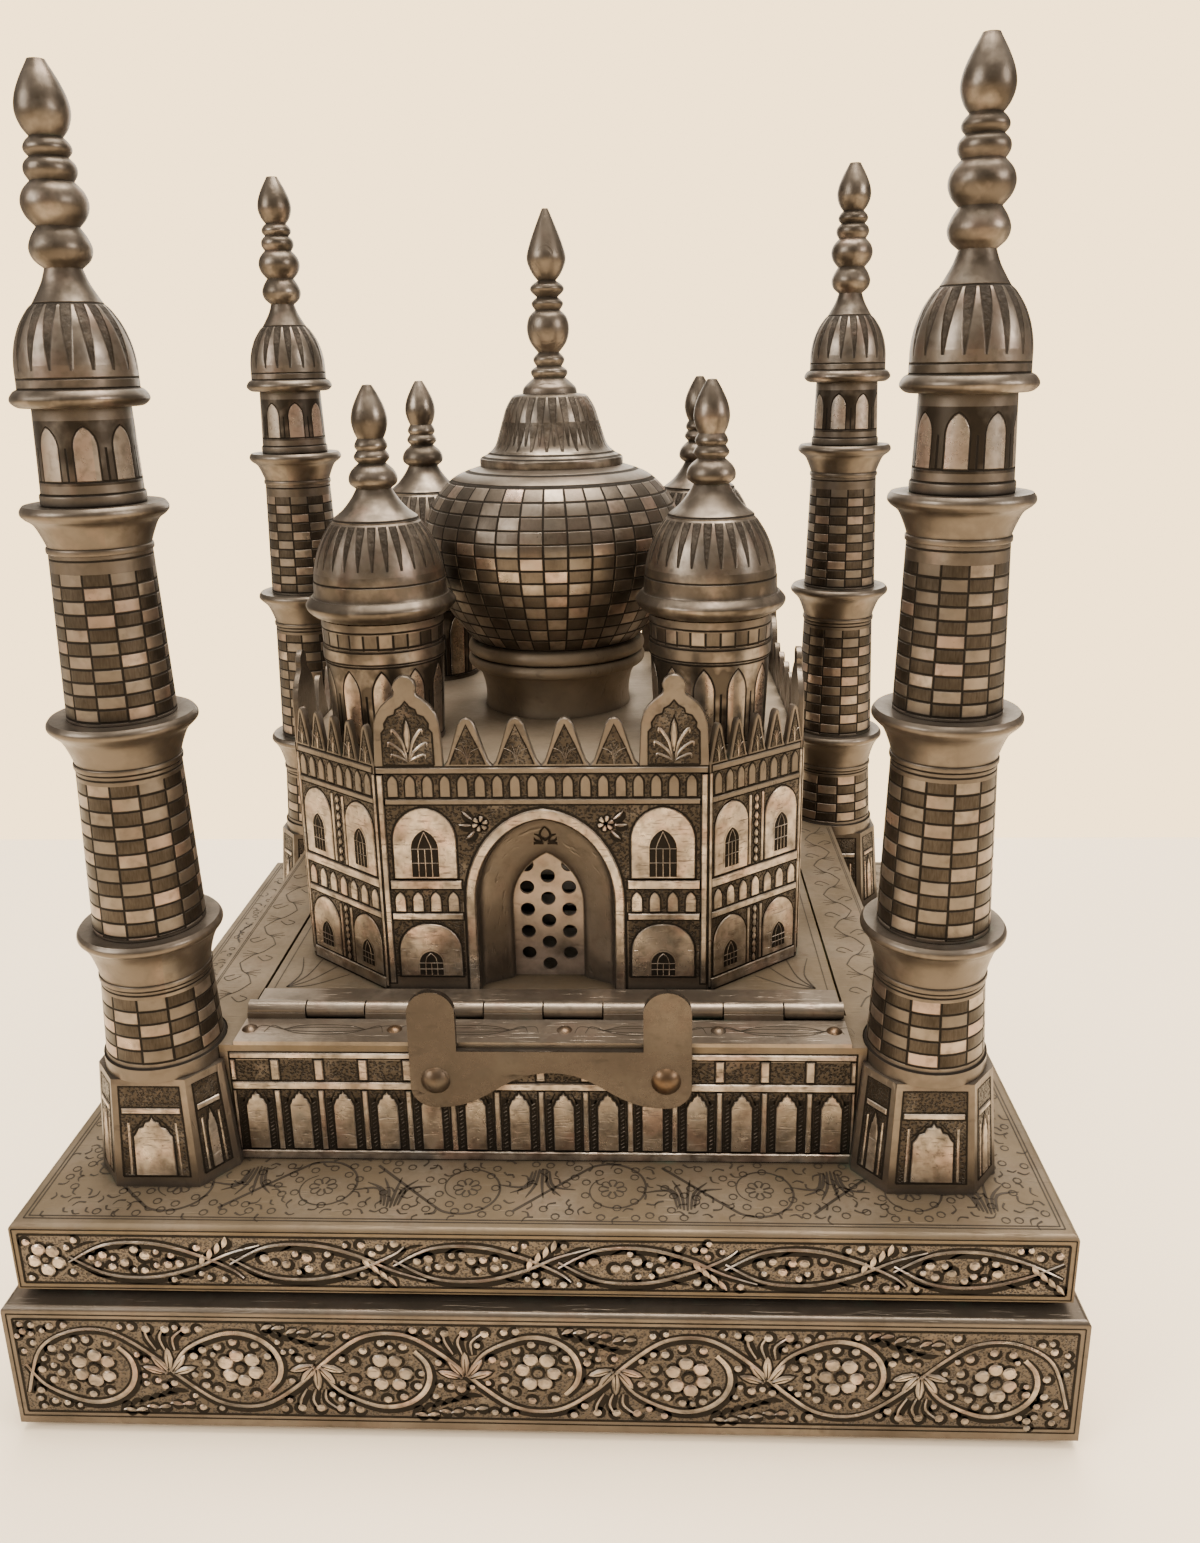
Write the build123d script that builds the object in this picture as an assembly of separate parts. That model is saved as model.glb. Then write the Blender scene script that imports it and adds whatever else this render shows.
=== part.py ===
from build123d import *
import math
import os

# A metal music box shaped like a domed hall with four minarets. It stands on a two-tier base. The
# hall is the lid of the compartment in the platform below it, and it tips forward about a hinge
# along the platform's front edge until its front wall lies on the two ears of a stop plate.
# Millimetres. +X is to the right, +Y to the back, +Z up. The origin is the centre of the base on
# the plane that the box stands on.

# Sheet metal and clearances
sheet = 1.2
fit_gap = 0.2
side_gap = 0.6
hull_gap = 0.3

# Two-tier base
upper_width = 192.0
upper_depth = 166.0
upper_height = 13.9
tier_overhang = 2.6
lower_height = 26.3
cove_height = 2.0
cove_inset = 2.4
edge_round = 1.0
glide_height = 2.0
glide_radius = 6.0
glide_inset = 13.0
deck_opening_side = 15.0
deck_opening_front = 21.1
tier_opening_margin = 18.0

# Bottom board, its corner blocks and screws
board_thickness = 4.0
block_side = 13.0
board_screw_radius = 1.5
board_screw_head_radius = 3.0
board_screw_length = 12.0

# Platform on the deck
platform_side_step = 1.4
platform_front_step = 2.6
platform_height = 25.0
rim_sheet = 1.5

# Minarets
minaret_side_inset = 23.6
minaret_front_inset = 22.5
foot_half_width = 13.6
foot_half_depth = 11.5
foot_face_half = 8.0
foot_chamfer_depth = 6.9
foot_height = 22.2
foot_taper = 0.87
ring_height = 3.0
ring_radius = 11.2
shaft_wall = 1.4
shaft_lengths = (15.0, 31.0, 28.9)
shaft_bottom_radii = (10.7, 10.0, 9.2)
shaft_top_radii = (9.9, 9.0, 8.4)
balcony_heights = (10.0, 9.1, 8.0)
balcony_radii = (12.9, 12.7, 11.8)
balcony_edge = 2.0
drum_height = 15.6
drum_bottom_radius = 8.2
drum_top_radius = 7.7
cap_flange_radius = 10.8
cap_flange_height = 3.0
cap_band_radius = 9.4
cap_band_height = 3.6
cap_bell_height = 9.4
cap_neck_radius = 5.6
cap_wall = 1.2

# Minaret finial: two balls, two rings and a bud
finial_foot_height = 5.5
finial_neck_radius = 2.9
finial_bead_heights = (6.2, 6.8, 3.4, 2.9)
finial_bead_radii = (4.8, 5.1, 4.0, 3.6)
finial_bud_height = 10.9
finial_bud_radius = 4.1
finial_tip_radius = 1.3

# Compartment
tray_wall = 1.0
tray_flange = 5.0
tray_margin = 4.0
tray_floor_lift = 2.0
sound_slot_length = 60.0
sound_slot_width = 3.0
sound_slot_pitch = 9.0
sound_slots = 5

# Lid and its hinge
lid_pass_gap = 0.9
rear_rim_depth = 6.5
lid_rest_gap = 0.15
hinge_set_back = 10.3
knuckle_radius = 1.65
pin_radius = 0.8
pin_gap = 0.05
knuckle_count = 10
knuckle_gap = 0.3
leaf_thickness = 0.8
lid_leaf_depth = 8.0
leaf_rivet_radius = 1.5
leaf_rivet_height = 0.7
leaf_rivet_shank = 0.7
leaf_rivet_shares = (-0.485, -0.243, 0.038, 0.29, 0.478)
leaf_rivet_set_back = 4.6

# Stop plate on the platform's front wall
stop_sheet = 1.4
stop_centre_x = 2.0
ear_half_spacing = 22.1
ear_width = 9.0
ear_touch_gap = 0.3
bar_drop = 0.3
lobe_depth = 12.0
bar_middle_depth = 4.5
ear_outer_depth = 6.7
stop_rivet_radius = 2.8
stop_rivet_height = 1.5
stop_rivet_shank = 1.2
stop_rivet_x = 21.8
stop_rivet_depth = 6.2

# Hall on the lid
hall_set_back = 10.4
hall_rear_step = 2.2
hall_side_step = 6.1
corner_cut = 20.0
wall_sheet = 1.2
cornice_height = 48.8
tab_width = 13.5
tab_shoulder = 8.0
tab_height = 13.0
tab_knob_width = 5.6
tab_knob_height = 18.2
merlon_height = 9.7
facade_merlons = 4
corner_merlon_height = 8.0
corner_merlons = 5
roof_sheet = 1.0
portal_width = 27.6
portal_spring = 20.0
portal_height = 37.6
niche_depth = 6.0
niche_wall = 0.8
door_width = 15.0
door_spring = 16.5
door_height = 28.2
grille_sheet = 0.8
grille_margin = 1.5
grille_hole_radius = 1.5
grille_pitch = 5.0

# Main dome
dome_drum_radius = 16.1
dome_drum_height = 9.3
dome_ring_radius = 20.1
dome_ring_height = 6.2
dome_wall = 1.2
bulb_height = 38.1
bulb_radius = 28.8
lotus_foot_radius = 15.5
lotus_height = 15.0
lotus_top_radius = 7.9
lotus_band_height = 2.2
dome_finial_foot_height = 4.2
dome_finial_foot_radius = 5.8
dome_finial_neck_radius = 2.3
dome_finial_ring_height = 2.7
dome_finial_ring_radius = 3.6
dome_finial_ball_height = 8.4
dome_finial_ball_radius = 4.5
dome_finial_bud_height = 13.6
dome_finial_bud_radius = 4.1
dome_finial_tip_radius = 0.7

# Corner kiosks on the roof
kiosk_side_inset = 19.0
kiosk_front_inset = 20.7
kiosk_drum_height = 26.0
kiosk_drum_bottom_radius = 11.3
kiosk_drum_top_radius = 12.6
kiosk_drum_wall = 1.4
kiosk_flange_radius = 15.2
kiosk_flange_height = 4.4
kiosk_band_radius = 13.4
kiosk_band_height = 3.2
kiosk_bell_height = 12.1
kiosk_neck_radius = 8.0
kiosk_finial_foot_height = 5.8
kiosk_finial_neck_radius = 2.7
kiosk_finial_ball_height = 5.0
kiosk_finial_ball_radius = 4.8
kiosk_finial_ring_height = 2.5
kiosk_finial_ring_radius = 3.4
kiosk_finial_bud_height = 10.0
kiosk_finial_bud_radius = 3.6
kiosk_finial_tip_radius = 0.9

# Key well in the bottom board
well_radius = 21.0
well_depth = 14.0
well_wall = 1.0
well_flange = 4.0

# Movement in the base, above the key well
bedplate_thickness = 2.5
bedplate_margin = 4.0
bedplate_side_step = 1.5
bedplate_screw_radius = 1.2
bedplate_screw_inset = 4.0
bearing_thickness = 1.6
bearing_width = 6.0
barrel_radius = 13.0
barrel_height = 8.0
barrel_wall = 0.8
barrel_lift = 1.0
arbor_radius = 2.0
arbor_gap = 0.06
crown_teeth = 48
crown_tooth_width = 0.5
crown_tooth_height = 1.0
crown_tooth_length = 1.8
pinion_teeth = 16
pinion_pitch_radius = 4.0
pinion_tooth_height = 1.0
pinion_tooth_width = 0.5
pinion_width = 1.6
mesh_depth = 0.7
cylinder_radius = 6.5
cylinder_length = 28.0
cylinder_shaft_radius = 1.0
cylinder_start = 17.0
cylinder_pin_radius = 0.2
cylinder_pin_height = 0.5
cylinder_first_pin = 75.0
cylinder_pin_step = 47.0
comb_teeth = 18
comb_sheet = 0.9
comb_depth = 16.0
comb_tooth_depth = 11.0
comb_slot = 0.45
comb_tip_gap = 0.3
comb_screw_radius = 1.1
fly_gear_teeth = 32
fly_pinion_teeth = 8
fly_tooth_height = 0.8
fly_tooth_width = 0.4
fly_pitch_radius = 6.4
fly_gear_width = 1.2
fly_mesh_depth = 0.5
fly_radius = 4.0
fly_length = 8.0
fly_blade = 0.6
brake_disc_radius = 2.5
brake_disc_width = 1.6
key_shank_radius = 2.6
key_wing_width = 17.0
key_wing_height = 7.0
key_wing_thickness = 1.8
key_tail = 1.0

# Stop rod between the lid and the fly
rod_radius = 0.9
rod_head_radius = 2.2
rod_head_height = 1.0
rod_foot_radius = 1.4
rod_guide_radius = 2.2

# Heights of the main levels
base_z = glide_height
lower_top_z = base_z + lower_height
cove_top_z = lower_top_z + cove_height
deck_z = cove_top_z + upper_height
rim_z = deck_z + platform_height
rim_under_z = rim_z - rim_sheet
foot_top_z = deck_z + foot_height
hinge_z = rim_z + knuckle_radius + hull_gap
roof_z = rim_z + cornice_height

# Plans that several pieces share
lower_width = upper_width + 2 * tier_overhang
lower_depth = upper_depth + 2 * tier_overhang
minaret_x = upper_width / 2 - minaret_side_inset
minaret_y = upper_depth / 2 - minaret_front_inset
platform_width = 2 * (minaret_x - platform_side_step)
platform_depth = 2 * (minaret_y + platform_front_step)
wall_y = platform_depth / 2
deck_opening_width = platform_width - 2 * deck_opening_side
deck_opening_depth = platform_depth - 2 * deck_opening_front
lid_half_width = minaret_x - max(balcony_radii) - lid_pass_gap
hinge_y = hinge_set_back - wall_y
hinge_length = 2 * (lid_half_width - fit_gap)
lid_front = hinge_y + knuckle_radius + hull_gap
lid_back = wall_y - rear_rim_depth
lid_under_z = rim_under_z + lid_rest_gap
hall_front_y = hinge_y + hall_set_back
hall_half_depth = (lid_back - hall_rear_step - hall_front_y) / 2
hall_y = hall_front_y + hall_half_depth
hall_half_width = lid_half_width - hall_side_step
facade_half = hall_half_width - corner_cut
kiosk_x = hall_half_width - kiosk_side_inset
kiosk_y = hall_half_depth - kiosk_front_inset

hall_corners = [
    (-facade_half, hall_y - hall_half_depth),
    (facade_half, hall_y - hall_half_depth),
    (hall_half_width, hall_y - facade_half),
    (hall_half_width, hall_y + facade_half),
    (facade_half, hall_y + hall_half_depth),
    (-facade_half, hall_y + hall_half_depth),
    (-hall_half_width, hall_y + facade_half),
    (-hall_half_width, hall_y - facade_half),
]

minaret_places = {
    "front_left": (-minaret_x, -minaret_y),
    "front_right": (minaret_x, -minaret_y),
    "rear_left": (-minaret_x, minaret_y),
    "rear_right": (minaret_x, minaret_y),
}

kiosk_places = {
    "front_left": (-kiosk_x, hall_y - kiosk_y),
    "front_right": (kiosk_x, hall_y - kiosk_y),
    "rear_left": (-kiosk_x, hall_y + kiosk_y),
    "rear_right": (kiosk_x, hall_y + kiosk_y),
}

# Levels of the movement
well_top_z = base_z + well_depth
bedplate_top_z = well_top_z + bedplate_thickness
barrel_z = bedplate_top_z + barrel_lift
barrel_top_z = barrel_z + barrel_height
crown_top_z = barrel_top_z + crown_tooth_height
pinion_tip_radius = pinion_pitch_radius + pinion_tooth_height / 2
cylinder_z = crown_top_z - mesh_depth + pinion_tip_radius
cylinder_end = cylinder_start + cylinder_length
crown_radius = barrel_radius - crown_tooth_length / 2
fly_gear_x = cylinder_end + hull_gap + fly_gear_width / 2
fly_pinion_pitch = fly_pitch_radius * fly_pinion_teeth / fly_gear_teeth
fly_y = fly_pitch_radius + fly_pinion_pitch + fly_tooth_height - fly_mesh_depth


def block(x0, x1, y0, y1, z0, z1):
    """A box between two corners."""
    centre = Pos((x0 + x1) / 2, (y0 + y1) / 2, (z0 + z1) / 2)
    return centre * Box(x1 - x0, y1 - y0, z1 - z0)


def slab(width, depth, z0, z1, y=0.0):
    """A box centred on x = 0 and on the given y."""
    return block(-width / 2, width / 2, y - depth / 2, y + depth / 2, z0, z1)


def rod(radius, z0, z1, x=0.0, y=0.0):
    """An upright cylinder."""
    return Pos(x, y, (z0 + z1) / 2) * Cylinder(radius, z1 - z0)


def rod_along_x(radius, x0, x1, y, z):
    """A cylinder along X."""
    return Pos((x0 + x1) / 2, y, z) * Rot(0, 90, 0) * Cylinder(radius, x1 - x0)


def spun(outline):
    """Turn a closed outline of (radius, height) points about Z.

    An entry that is a list of two points is an arc through the first to the second. A longer
    list is a smooth curve through all of its points.
    """
    edges = []
    here = outline[0]
    for entry in outline[1:] + [outline[0]]:
        route = entry if isinstance(entry, list) else [entry]
        if route == [here]:
            continue
        points = [(radius, 0, height) for radius, height in [here] + route]
        if len(route) == 1:
            edges.append(Line(*points))
        elif len(route) == 2:
            edges.append(ThreePointArc(*points))
        else:
            edges.append(Spline(*points))
        here = route[-1]
    return revolve(make_face(Curve() + edges), Axis.Z)


def prism(corners, z0, z1):
    """An upright prism over a polygon of (x, y) corners."""
    base = make_face(Polyline(*[(x, y, z0) for x, y in corners], close=True))
    return extrude(base, z1 - z0, dir=(0, 0, 1))


def arch_face(width, spring, height, y=0.0, grow=0.0):
    """A pointed arch standing on z = 0 in the plane of the given y, widened all round by grow."""
    half = width / 2 + grow
    rise = height + grow - spring
    centre = (half * half - rise * rise) / (2 * half)
    radius = half - centre
    turn = math.acos(-centre / radius) / 2
    middle_x = centre + radius * math.cos(turn)
    middle_z = spring + radius * math.sin(turn)
    apex = (0, y, height + grow)
    outline = Curve() + [
        Line((-half, y, 0), (half, y, 0)),
        Line((half, y, 0), (half, y, spring)),
        ThreePointArc((half, y, spring), (middle_x, y, middle_z), apex),
        ThreePointArc(apex, (-middle_x, y, middle_z), (-half, y, spring)),
        Line((-half, y, spring), (-half, y, 0)),
    ]
    return make_face(outline)


def pointed_tab(width, height, thickness):
    """A lancet-shaped tab on z = 0 whose outer face is y = 0."""
    half = width / 2
    centre = (half * half - height * height) / (2 * half)
    radius = half - centre
    turn = math.acos(-centre / radius) / 2
    middle_x = centre + radius * math.cos(turn)
    middle_z = radius * math.sin(turn)
    outline = Curve() + [
        Line((-half, 0, 0), (half, 0, 0)),
        ThreePointArc((half, 0, 0), (middle_x, 0, middle_z), (0, 0, height)),
        ThreePointArc((0, 0, height), (-middle_x, 0, middle_z), (-half, 0, 0)),
    ]
    return extrude(make_face(outline), thickness, dir=(0, 1, 0))


def inset_corners(corners, distance):
    """The corners of a convex counter-clockwise polygon moved inwards by a distance."""
    moved = []
    count = len(corners)
    for index in range(count):
        before = corners[index - 1]
        here = corners[index]
        after = corners[(index + 1) % count]
        first = unit(before, here)
        second = unit(here, after)
        turn = first[0] * second[1] - first[1] * second[0]
        along = 1 + first[0] * second[0] + first[1] * second[1]
        lean = turn / along
        x = here[0] + distance * (-second[1] + lean * second[0])
        y = here[1] + distance * (second[0] + lean * second[1])
        moved.append((x, y))
    return moved


def unit(start, end):
    """The direction from one point to another."""
    dx = end[0] - start[0]
    dy = end[1] - start[1]
    length = math.hypot(dx, dy)
    return dx / length, dy / length


def lower_tier():
    """The wide lower tier: four walls and a ledge that carries the upper tier's cove."""
    outer = slab(lower_width, lower_depth, base_z, lower_top_z)
    outer = fillet(outer.edges().group_by(Axis.Z)[-1], edge_round)
    cavity = slab(lower_width - 2 * sheet, lower_depth - 2 * sheet, base_z, lower_top_z - sheet)
    opening = slab(
        upper_width - 2 * tier_opening_margin,
        upper_depth - 2 * tier_opening_margin,
        lower_top_z - sheet,
        lower_top_z,
    )
    return outer - cavity - opening


def upper_tier():
    """The upper tier: a recessed cove below, walls and the engraved deck with its opening."""
    outer = slab(upper_width, upper_depth, cove_top_z, deck_z)
    outer = fillet(outer.edges().group_by(Axis.Z)[-1], edge_round)
    cove_width = upper_width - 2 * cove_inset
    cove_depth = upper_depth - 2 * cove_inset
    outer += slab(cove_width, cove_depth, lower_top_z, cove_top_z)
    inside = slab(cove_width - 2 * sheet, cove_depth - 2 * sheet, lower_top_z, deck_z - sheet)
    inside += slab(
        upper_width - 2 * sheet, upper_depth - 2 * sheet, cove_top_z + sheet, deck_z - sheet
    )
    opening = slab(deck_opening_width, deck_opening_depth, deck_z - sheet, deck_z)
    return outer - inside - opening


def board_corner_places(inset):
    """Four places at a distance in from the lower tier's corners."""
    x = lower_width / 2 - inset
    y = lower_depth / 2 - inset
    return [(-x, -y), (x, -y), (-x, y), (x, y)]


def block_inset():
    """The distance from a corner of the lower tier to the middle of its corner block."""
    return sheet + fit_gap + block_side / 2


def bottom_board():
    """The board that closes the base, with a hole for the key well and four screw holes."""
    width = lower_width - 2 * sheet - 2 * fit_gap
    depth = lower_depth - 2 * sheet - 2 * fit_gap
    board = slab(width, depth, base_z, base_z + board_thickness)
    board -= rod(well_radius, base_z, base_z + board_thickness)
    for x, y in board_corner_places(block_inset()):
        board -= board_screw(x, y)
    return board


def corner_blocks():
    """Four wooden blocks in the corners of the lower tier, above the board."""
    blocks = []
    half = block_side / 2
    z0 = base_z + board_thickness
    for x, y in board_corner_places(block_inset()):
        piece = block(x - half, x + half, y - half, y + half, z0, lower_top_z - sheet)
        blocks.append(piece - board_screw(x, y))
    return Compound(children=blocks)


def board_screw(x, y):
    """A countersunk screw from below through the board into a corner block."""
    sink = board_screw_head_radius - board_screw_radius
    outline = [
        (0, base_z),
        (board_screw_head_radius, base_z),
        (board_screw_radius, base_z + sink),
        (board_screw_radius, base_z + board_screw_length),
        (0, base_z + board_screw_length),
    ]
    return Pos(x, y, 0) * spun(outline)


def board_screws():
    """The four screws of the bottom board."""
    places = board_corner_places(block_inset())
    return Compound(children=[board_screw(x, y) for x, y in places])


def base_glides():
    """Four low pads under the board that the box stands on."""
    inset = block_inset() + glide_inset
    places = board_corner_places(inset)
    return Compound(children=[rod(glide_radius, 0, base_z, x, y) for x, y in places])


def foot_face(scale, z, shrink=0.0):
    """The octagon of a minaret's foot at one height, drawn in by a wall."""
    width = foot_half_width * scale
    depth = foot_half_depth * scale
    face_half = foot_face_half * scale
    side_half = (foot_half_depth - foot_chamfer_depth) * scale
    corners = [
        (-face_half, -depth), (face_half, -depth), (width, -side_half), (width, side_half),
        (face_half, depth), (-face_half, depth), (-width, side_half), (-width, -side_half),
    ]
    if shrink:
        corners = inset_corners(corners, shrink)
    return make_face(Polyline(*[(x, y, z) for x, y in corners], close=True))


def foot_body(shrink=0.0):
    """The tapered octagonal body of a minaret's foot about its own axis."""
    faces = [foot_face(1.0, deck_z, shrink), foot_face(foot_taper, foot_top_z, shrink)]
    return loft(faces, ruled=True)


def minaret_foot(x, y):
    """A hollow octagonal foot with a closed top that carries the shafts."""
    inside = foot_body(sheet) - block(
        -foot_half_width, foot_half_width, -foot_half_depth, foot_half_depth,
        foot_top_z - sheet, foot_top_z,
    )
    return Pos(x, y, 0) * (foot_body() - inside)


def minaret_tower(x, y):
    """The foot ring, three tapering shafts under three balconies, and the drum on top."""
    pieces = []
    z = foot_top_z
    bore = shaft_top_radii[-1] - shaft_wall
    pieces.append(tube(ring_radius, ring_radius, bore, z, z + ring_height))
    z += ring_height
    for index in range(len(shaft_lengths)):
        bottom = shaft_bottom_radii[index]
        top = shaft_top_radii[index]
        pieces.append(tube(bottom, top, bore, z, z + shaft_lengths[index]))
        z += shaft_lengths[index]
        pieces.append(balcony(top, balcony_radii[index], bore, z, balcony_heights[index]))
        z += balcony_heights[index]
    inner = drum_top_radius - shaft_wall
    pieces.append(tube(drum_bottom_radius, drum_top_radius, inner, z, z + drum_height))
    return Pos(x, y, 0) * Compound(children=pieces)


def tower_top_z():
    """The height of the drum's top, where the cap sits."""
    return foot_top_z + ring_height + sum(shaft_lengths) + sum(balcony_heights) + drum_height


def tube(bottom_radius, top_radius, bore, z0, z1):
    """A tapering tube with a straight bore."""
    return spun([(bore, z0), (bottom_radius, z0), (top_radius, z1), (bore, z1)])


def balcony(neck, radius, bore, z, height):
    """A hollow-curved bracket that flares out to a round-edged floor."""
    edge_z = z + height - balcony_edge
    lip = radius - balcony_edge / 2
    return spun([
        (bore, z),
        (neck, z),
        [(neck + (lip - neck) * 0.28, z + (edge_z - z) * 0.62), (lip, edge_z)],
        [(radius, edge_z + balcony_edge / 2), (lip, edge_z + balcony_edge)],
        (bore, edge_z + balcony_edge),
    ])


def bell_cap(z, seat, flange, flange_height, band, band_height, bell_height, neck, wall):
    """A flared flange, a plain band and a fluted bell dome, hollow inside."""
    flange_z = z + flange_height
    band_z = flange_z + band_height
    top_z = band_z + bell_height
    return spun([
        (seat, z),
        (flange - 1, z),
        [(flange, z + flange_height * 0.35), (flange - 0.6, z + flange_height * 0.6)],
        (band, flange_z),
        (band, band_z),
        [(band - 0.2, band_z + bell_height * 0.2),
         (band * 0.87 + neck * 0.13, band_z + bell_height * 0.5),
         (band * 0.45 + neck * 0.55, band_z + bell_height * 0.84),
         (neck, top_z)],
        (0, top_z),
        (0, top_z - wall),
        (neck - wall, top_z - wall),
        [(band * 0.8 + neck * 0.2 - wall, band_z + bell_height * 0.4), (seat, band_z)],
    ])


def turned_finial(z, foot, foot_height, neck, beads, bud_height, bud, tip):
    """A turned finial: a hollow-curved foot, a row of beads and a bud with a blunt tip.

    Each bead is its height and its radius.
    """
    outline = [(0, z), (foot, z)]
    height = z + foot_height
    outline.append([(neck + (foot - neck) * 0.4, z + foot_height * 0.42), (neck, height)])
    for bead_height, bead_radius in beads:
        middle = (bead_radius, height + bead_height / 2)
        height += bead_height
        outline.append([middle, (neck, height)])
    wide_z = height + bud_height * 0.26
    outline.append([(neck + (bud - neck) * 0.75, height + bud_height * 0.13), (bud, wide_z)])
    top = height + bud_height
    outline.append([(bud * 0.72 + tip * 0.28, wide_z + bud_height * 0.34), (tip, top)])
    outline.append((0, top))
    return spun(outline)


def minaret_cap(x, y):
    """The bell dome on a minaret's drum and the finial on it."""
    z = tower_top_z()
    bell = bell_cap(
        z, drum_top_radius - shaft_wall, cap_flange_radius, cap_flange_height,
        cap_band_radius, cap_band_height, cap_bell_height, cap_neck_radius, cap_wall,
    )
    beads = list(zip(finial_bead_heights, finial_bead_radii))
    finial = turned_finial(
        z + cap_flange_height + cap_band_height + cap_bell_height, cap_neck_radius,
        finial_foot_height, finial_neck_radius, beads,
        finial_bud_height, finial_bud_radius, finial_tip_radius,
    )
    return Pos(x, y, 0) * Compound(children=[bell, finial])


def wall_run(piece):
    """The piece of a platform wall that is left between two minarets."""
    for x, y in minaret_places.values():
        piece -= Pos(x, y, 0) * foot_body()
        piece -= rod(ring_radius + fit_gap, foot_top_z, rim_under_z, x, y)
    return piece.solids().sort_by(SortBy.VOLUME)[-1]


def platform_front_wall():
    """The front wall between the front feet, with the stop plate's two rivet holes."""
    reach = platform_width / 2
    wall = wall_run(block(-reach, reach, -wall_y, -wall_y + sheet, deck_z, rim_under_z))
    for x in stop_rivet_places():
        wall -= stop_shank(x)
    return wall


def platform_rear_and_side_walls():
    """The rear wall and the two side walls between the feet."""
    reach = platform_width / 2
    rear = block(-reach, reach, wall_y - sheet, wall_y, deck_z, rim_under_z)
    left = block(-reach, -reach + sheet, -wall_y, wall_y, deck_z, rim_under_z)
    right = block(reach - sheet, reach, -wall_y, wall_y, deck_z, rim_under_z)
    return Compound(children=[wall_run(rear), wall_run(left), wall_run(right)])


def platform_rim():
    """The platform's top: a frame round the lid, notched for the minarets' shafts."""
    rim = slab(platform_width, platform_depth, rim_under_z, rim_z)
    rim -= block(
        -lid_half_width - side_gap, lid_half_width + side_gap,
        lid_front - side_gap, lid_back + side_gap, rim_under_z, rim_z,
    )
    for x, y in minaret_places.values():
        rim -= rod(ring_radius + fit_gap, rim_under_z, rim_z, x, y)
    for x in leaf_rivet_places():
        rim -= leaf_shank(x)
    return rim


def tray_plan():
    """The inside of the compartment: half width, front and back."""
    half = lid_half_width - tray_margin
    return half, lid_front + tray_margin, lid_back - tray_margin


def rod_place():
    """The stop rod's axis, beside the compartment's right wall and above the fly's brake disc."""
    half, _, _ = tray_plan()
    return half - 2 * rod_guide_radius, fly_y


def compartment_tray():
    """An open tray hung below the rim by its flange, with sound slots and a tube for the rod."""
    half, front, back = tray_plan()
    floor_z = deck_z + tray_floor_lift
    flange_z = rim_under_z - tray_wall
    outer = half + tray_wall
    tray = block(-outer, outer, front - tray_wall, back + tray_wall, floor_z, rim_under_z)
    reach = half + tray_wall + tray_flange
    tray += block(
        -reach, reach, front - tray_wall - tray_flange, back + tray_wall + tray_flange,
        flange_z, rim_under_z,
    )
    tray -= block(-half, half, front, back, floor_z + tray_wall, rim_under_z)
    middle = (front + back) / 2
    for index in range(sound_slots):
        y = middle + (index - (sound_slots - 1) / 2) * sound_slot_pitch
        tray -= slab(sound_slot_length, sound_slot_width, floor_z, floor_z + tray_wall, y)
    x, y = rod_place()
    tray += rod(rod_guide_radius, floor_z, rod_guide_top_z(), x, y)
    tray -= rod(rod_radius + arbor_gap, floor_z, rod_guide_top_z(), x, y)
    return tray


def rod_guide_top_z():
    """The top of the rod's guide tube, low enough for the rod's head above it."""
    return lid_under_z - rod_head_height - 2 * hull_gap


def knuckle_edges(index):
    """The start and end along X of one hinge knuckle."""
    pitch = hinge_length / knuckle_count
    start = -hinge_length / 2 + index * pitch
    return start + knuckle_gap / 2, start + pitch - knuckle_gap / 2


def leaf_with_knuckles(leaf, indices, y_root, bore):
    """A hinge leaf joined by short webs to its rolled knuckles, bored for the pin."""
    side = math.copysign(knuckle_radius - hull_gap, y_root - hinge_y)
    low, high = sorted((hinge_y + side, y_root))
    for index in indices:
        x0, x1 = knuckle_edges(index)
        leaf += rod_along_x(knuckle_radius, x0, x1, hinge_y, hinge_z)
        leaf += block(x0, x1, low, high, rim_z, hinge_z)
    half = hinge_length / 2
    return leaf - rod_along_x(bore, -half, half, hinge_y, hinge_z)


def fixed_hinge_leaf():
    """The leaf riveted along the platform's front edge, with every second knuckle."""
    half = hinge_length / 2
    root = hinge_y - knuckle_radius - hull_gap
    leaf = block(-half, half, -wall_y, root, rim_z, rim_z + leaf_thickness)
    leaf = leaf_with_knuckles(leaf, range(0, knuckle_count, 2), root, pin_radius)
    for x in leaf_rivet_places():
        leaf -= leaf_shank(x)
    return leaf


def lid_hinge_leaf():
    """The leaf on the lid plate, with the other knuckles, which turn on the pin."""
    half = hinge_length / 2
    root = lid_front
    leaf = block(-half, half, root, root + lid_leaf_depth, rim_z, rim_z + leaf_thickness)
    return leaf_with_knuckles(leaf, range(1, knuckle_count, 2), root, pin_radius + pin_gap)


def rivet_head(radius, height):
    """A low domed head on z = 0."""
    ball = (radius * radius + height * height) / (2 * height)
    half_turn = math.asin(radius / ball) / 2
    middle = (ball * math.sin(half_turn), height - ball + ball * math.cos(half_turn))
    return spun([(0, 0), (radius, 0), [middle, (0, height)]])


def leaf_rivet_places():
    """The rivets of the fixed leaf along X."""
    return [share * hinge_length for share in leaf_rivet_shares]


def leaf_shank(x):
    """The shank of a leaf rivet through the leaf and the rim."""
    y = leaf_rivet_set_back - wall_y
    return rod(leaf_rivet_shank, rim_under_z, rim_z + leaf_thickness, x, y)


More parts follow.
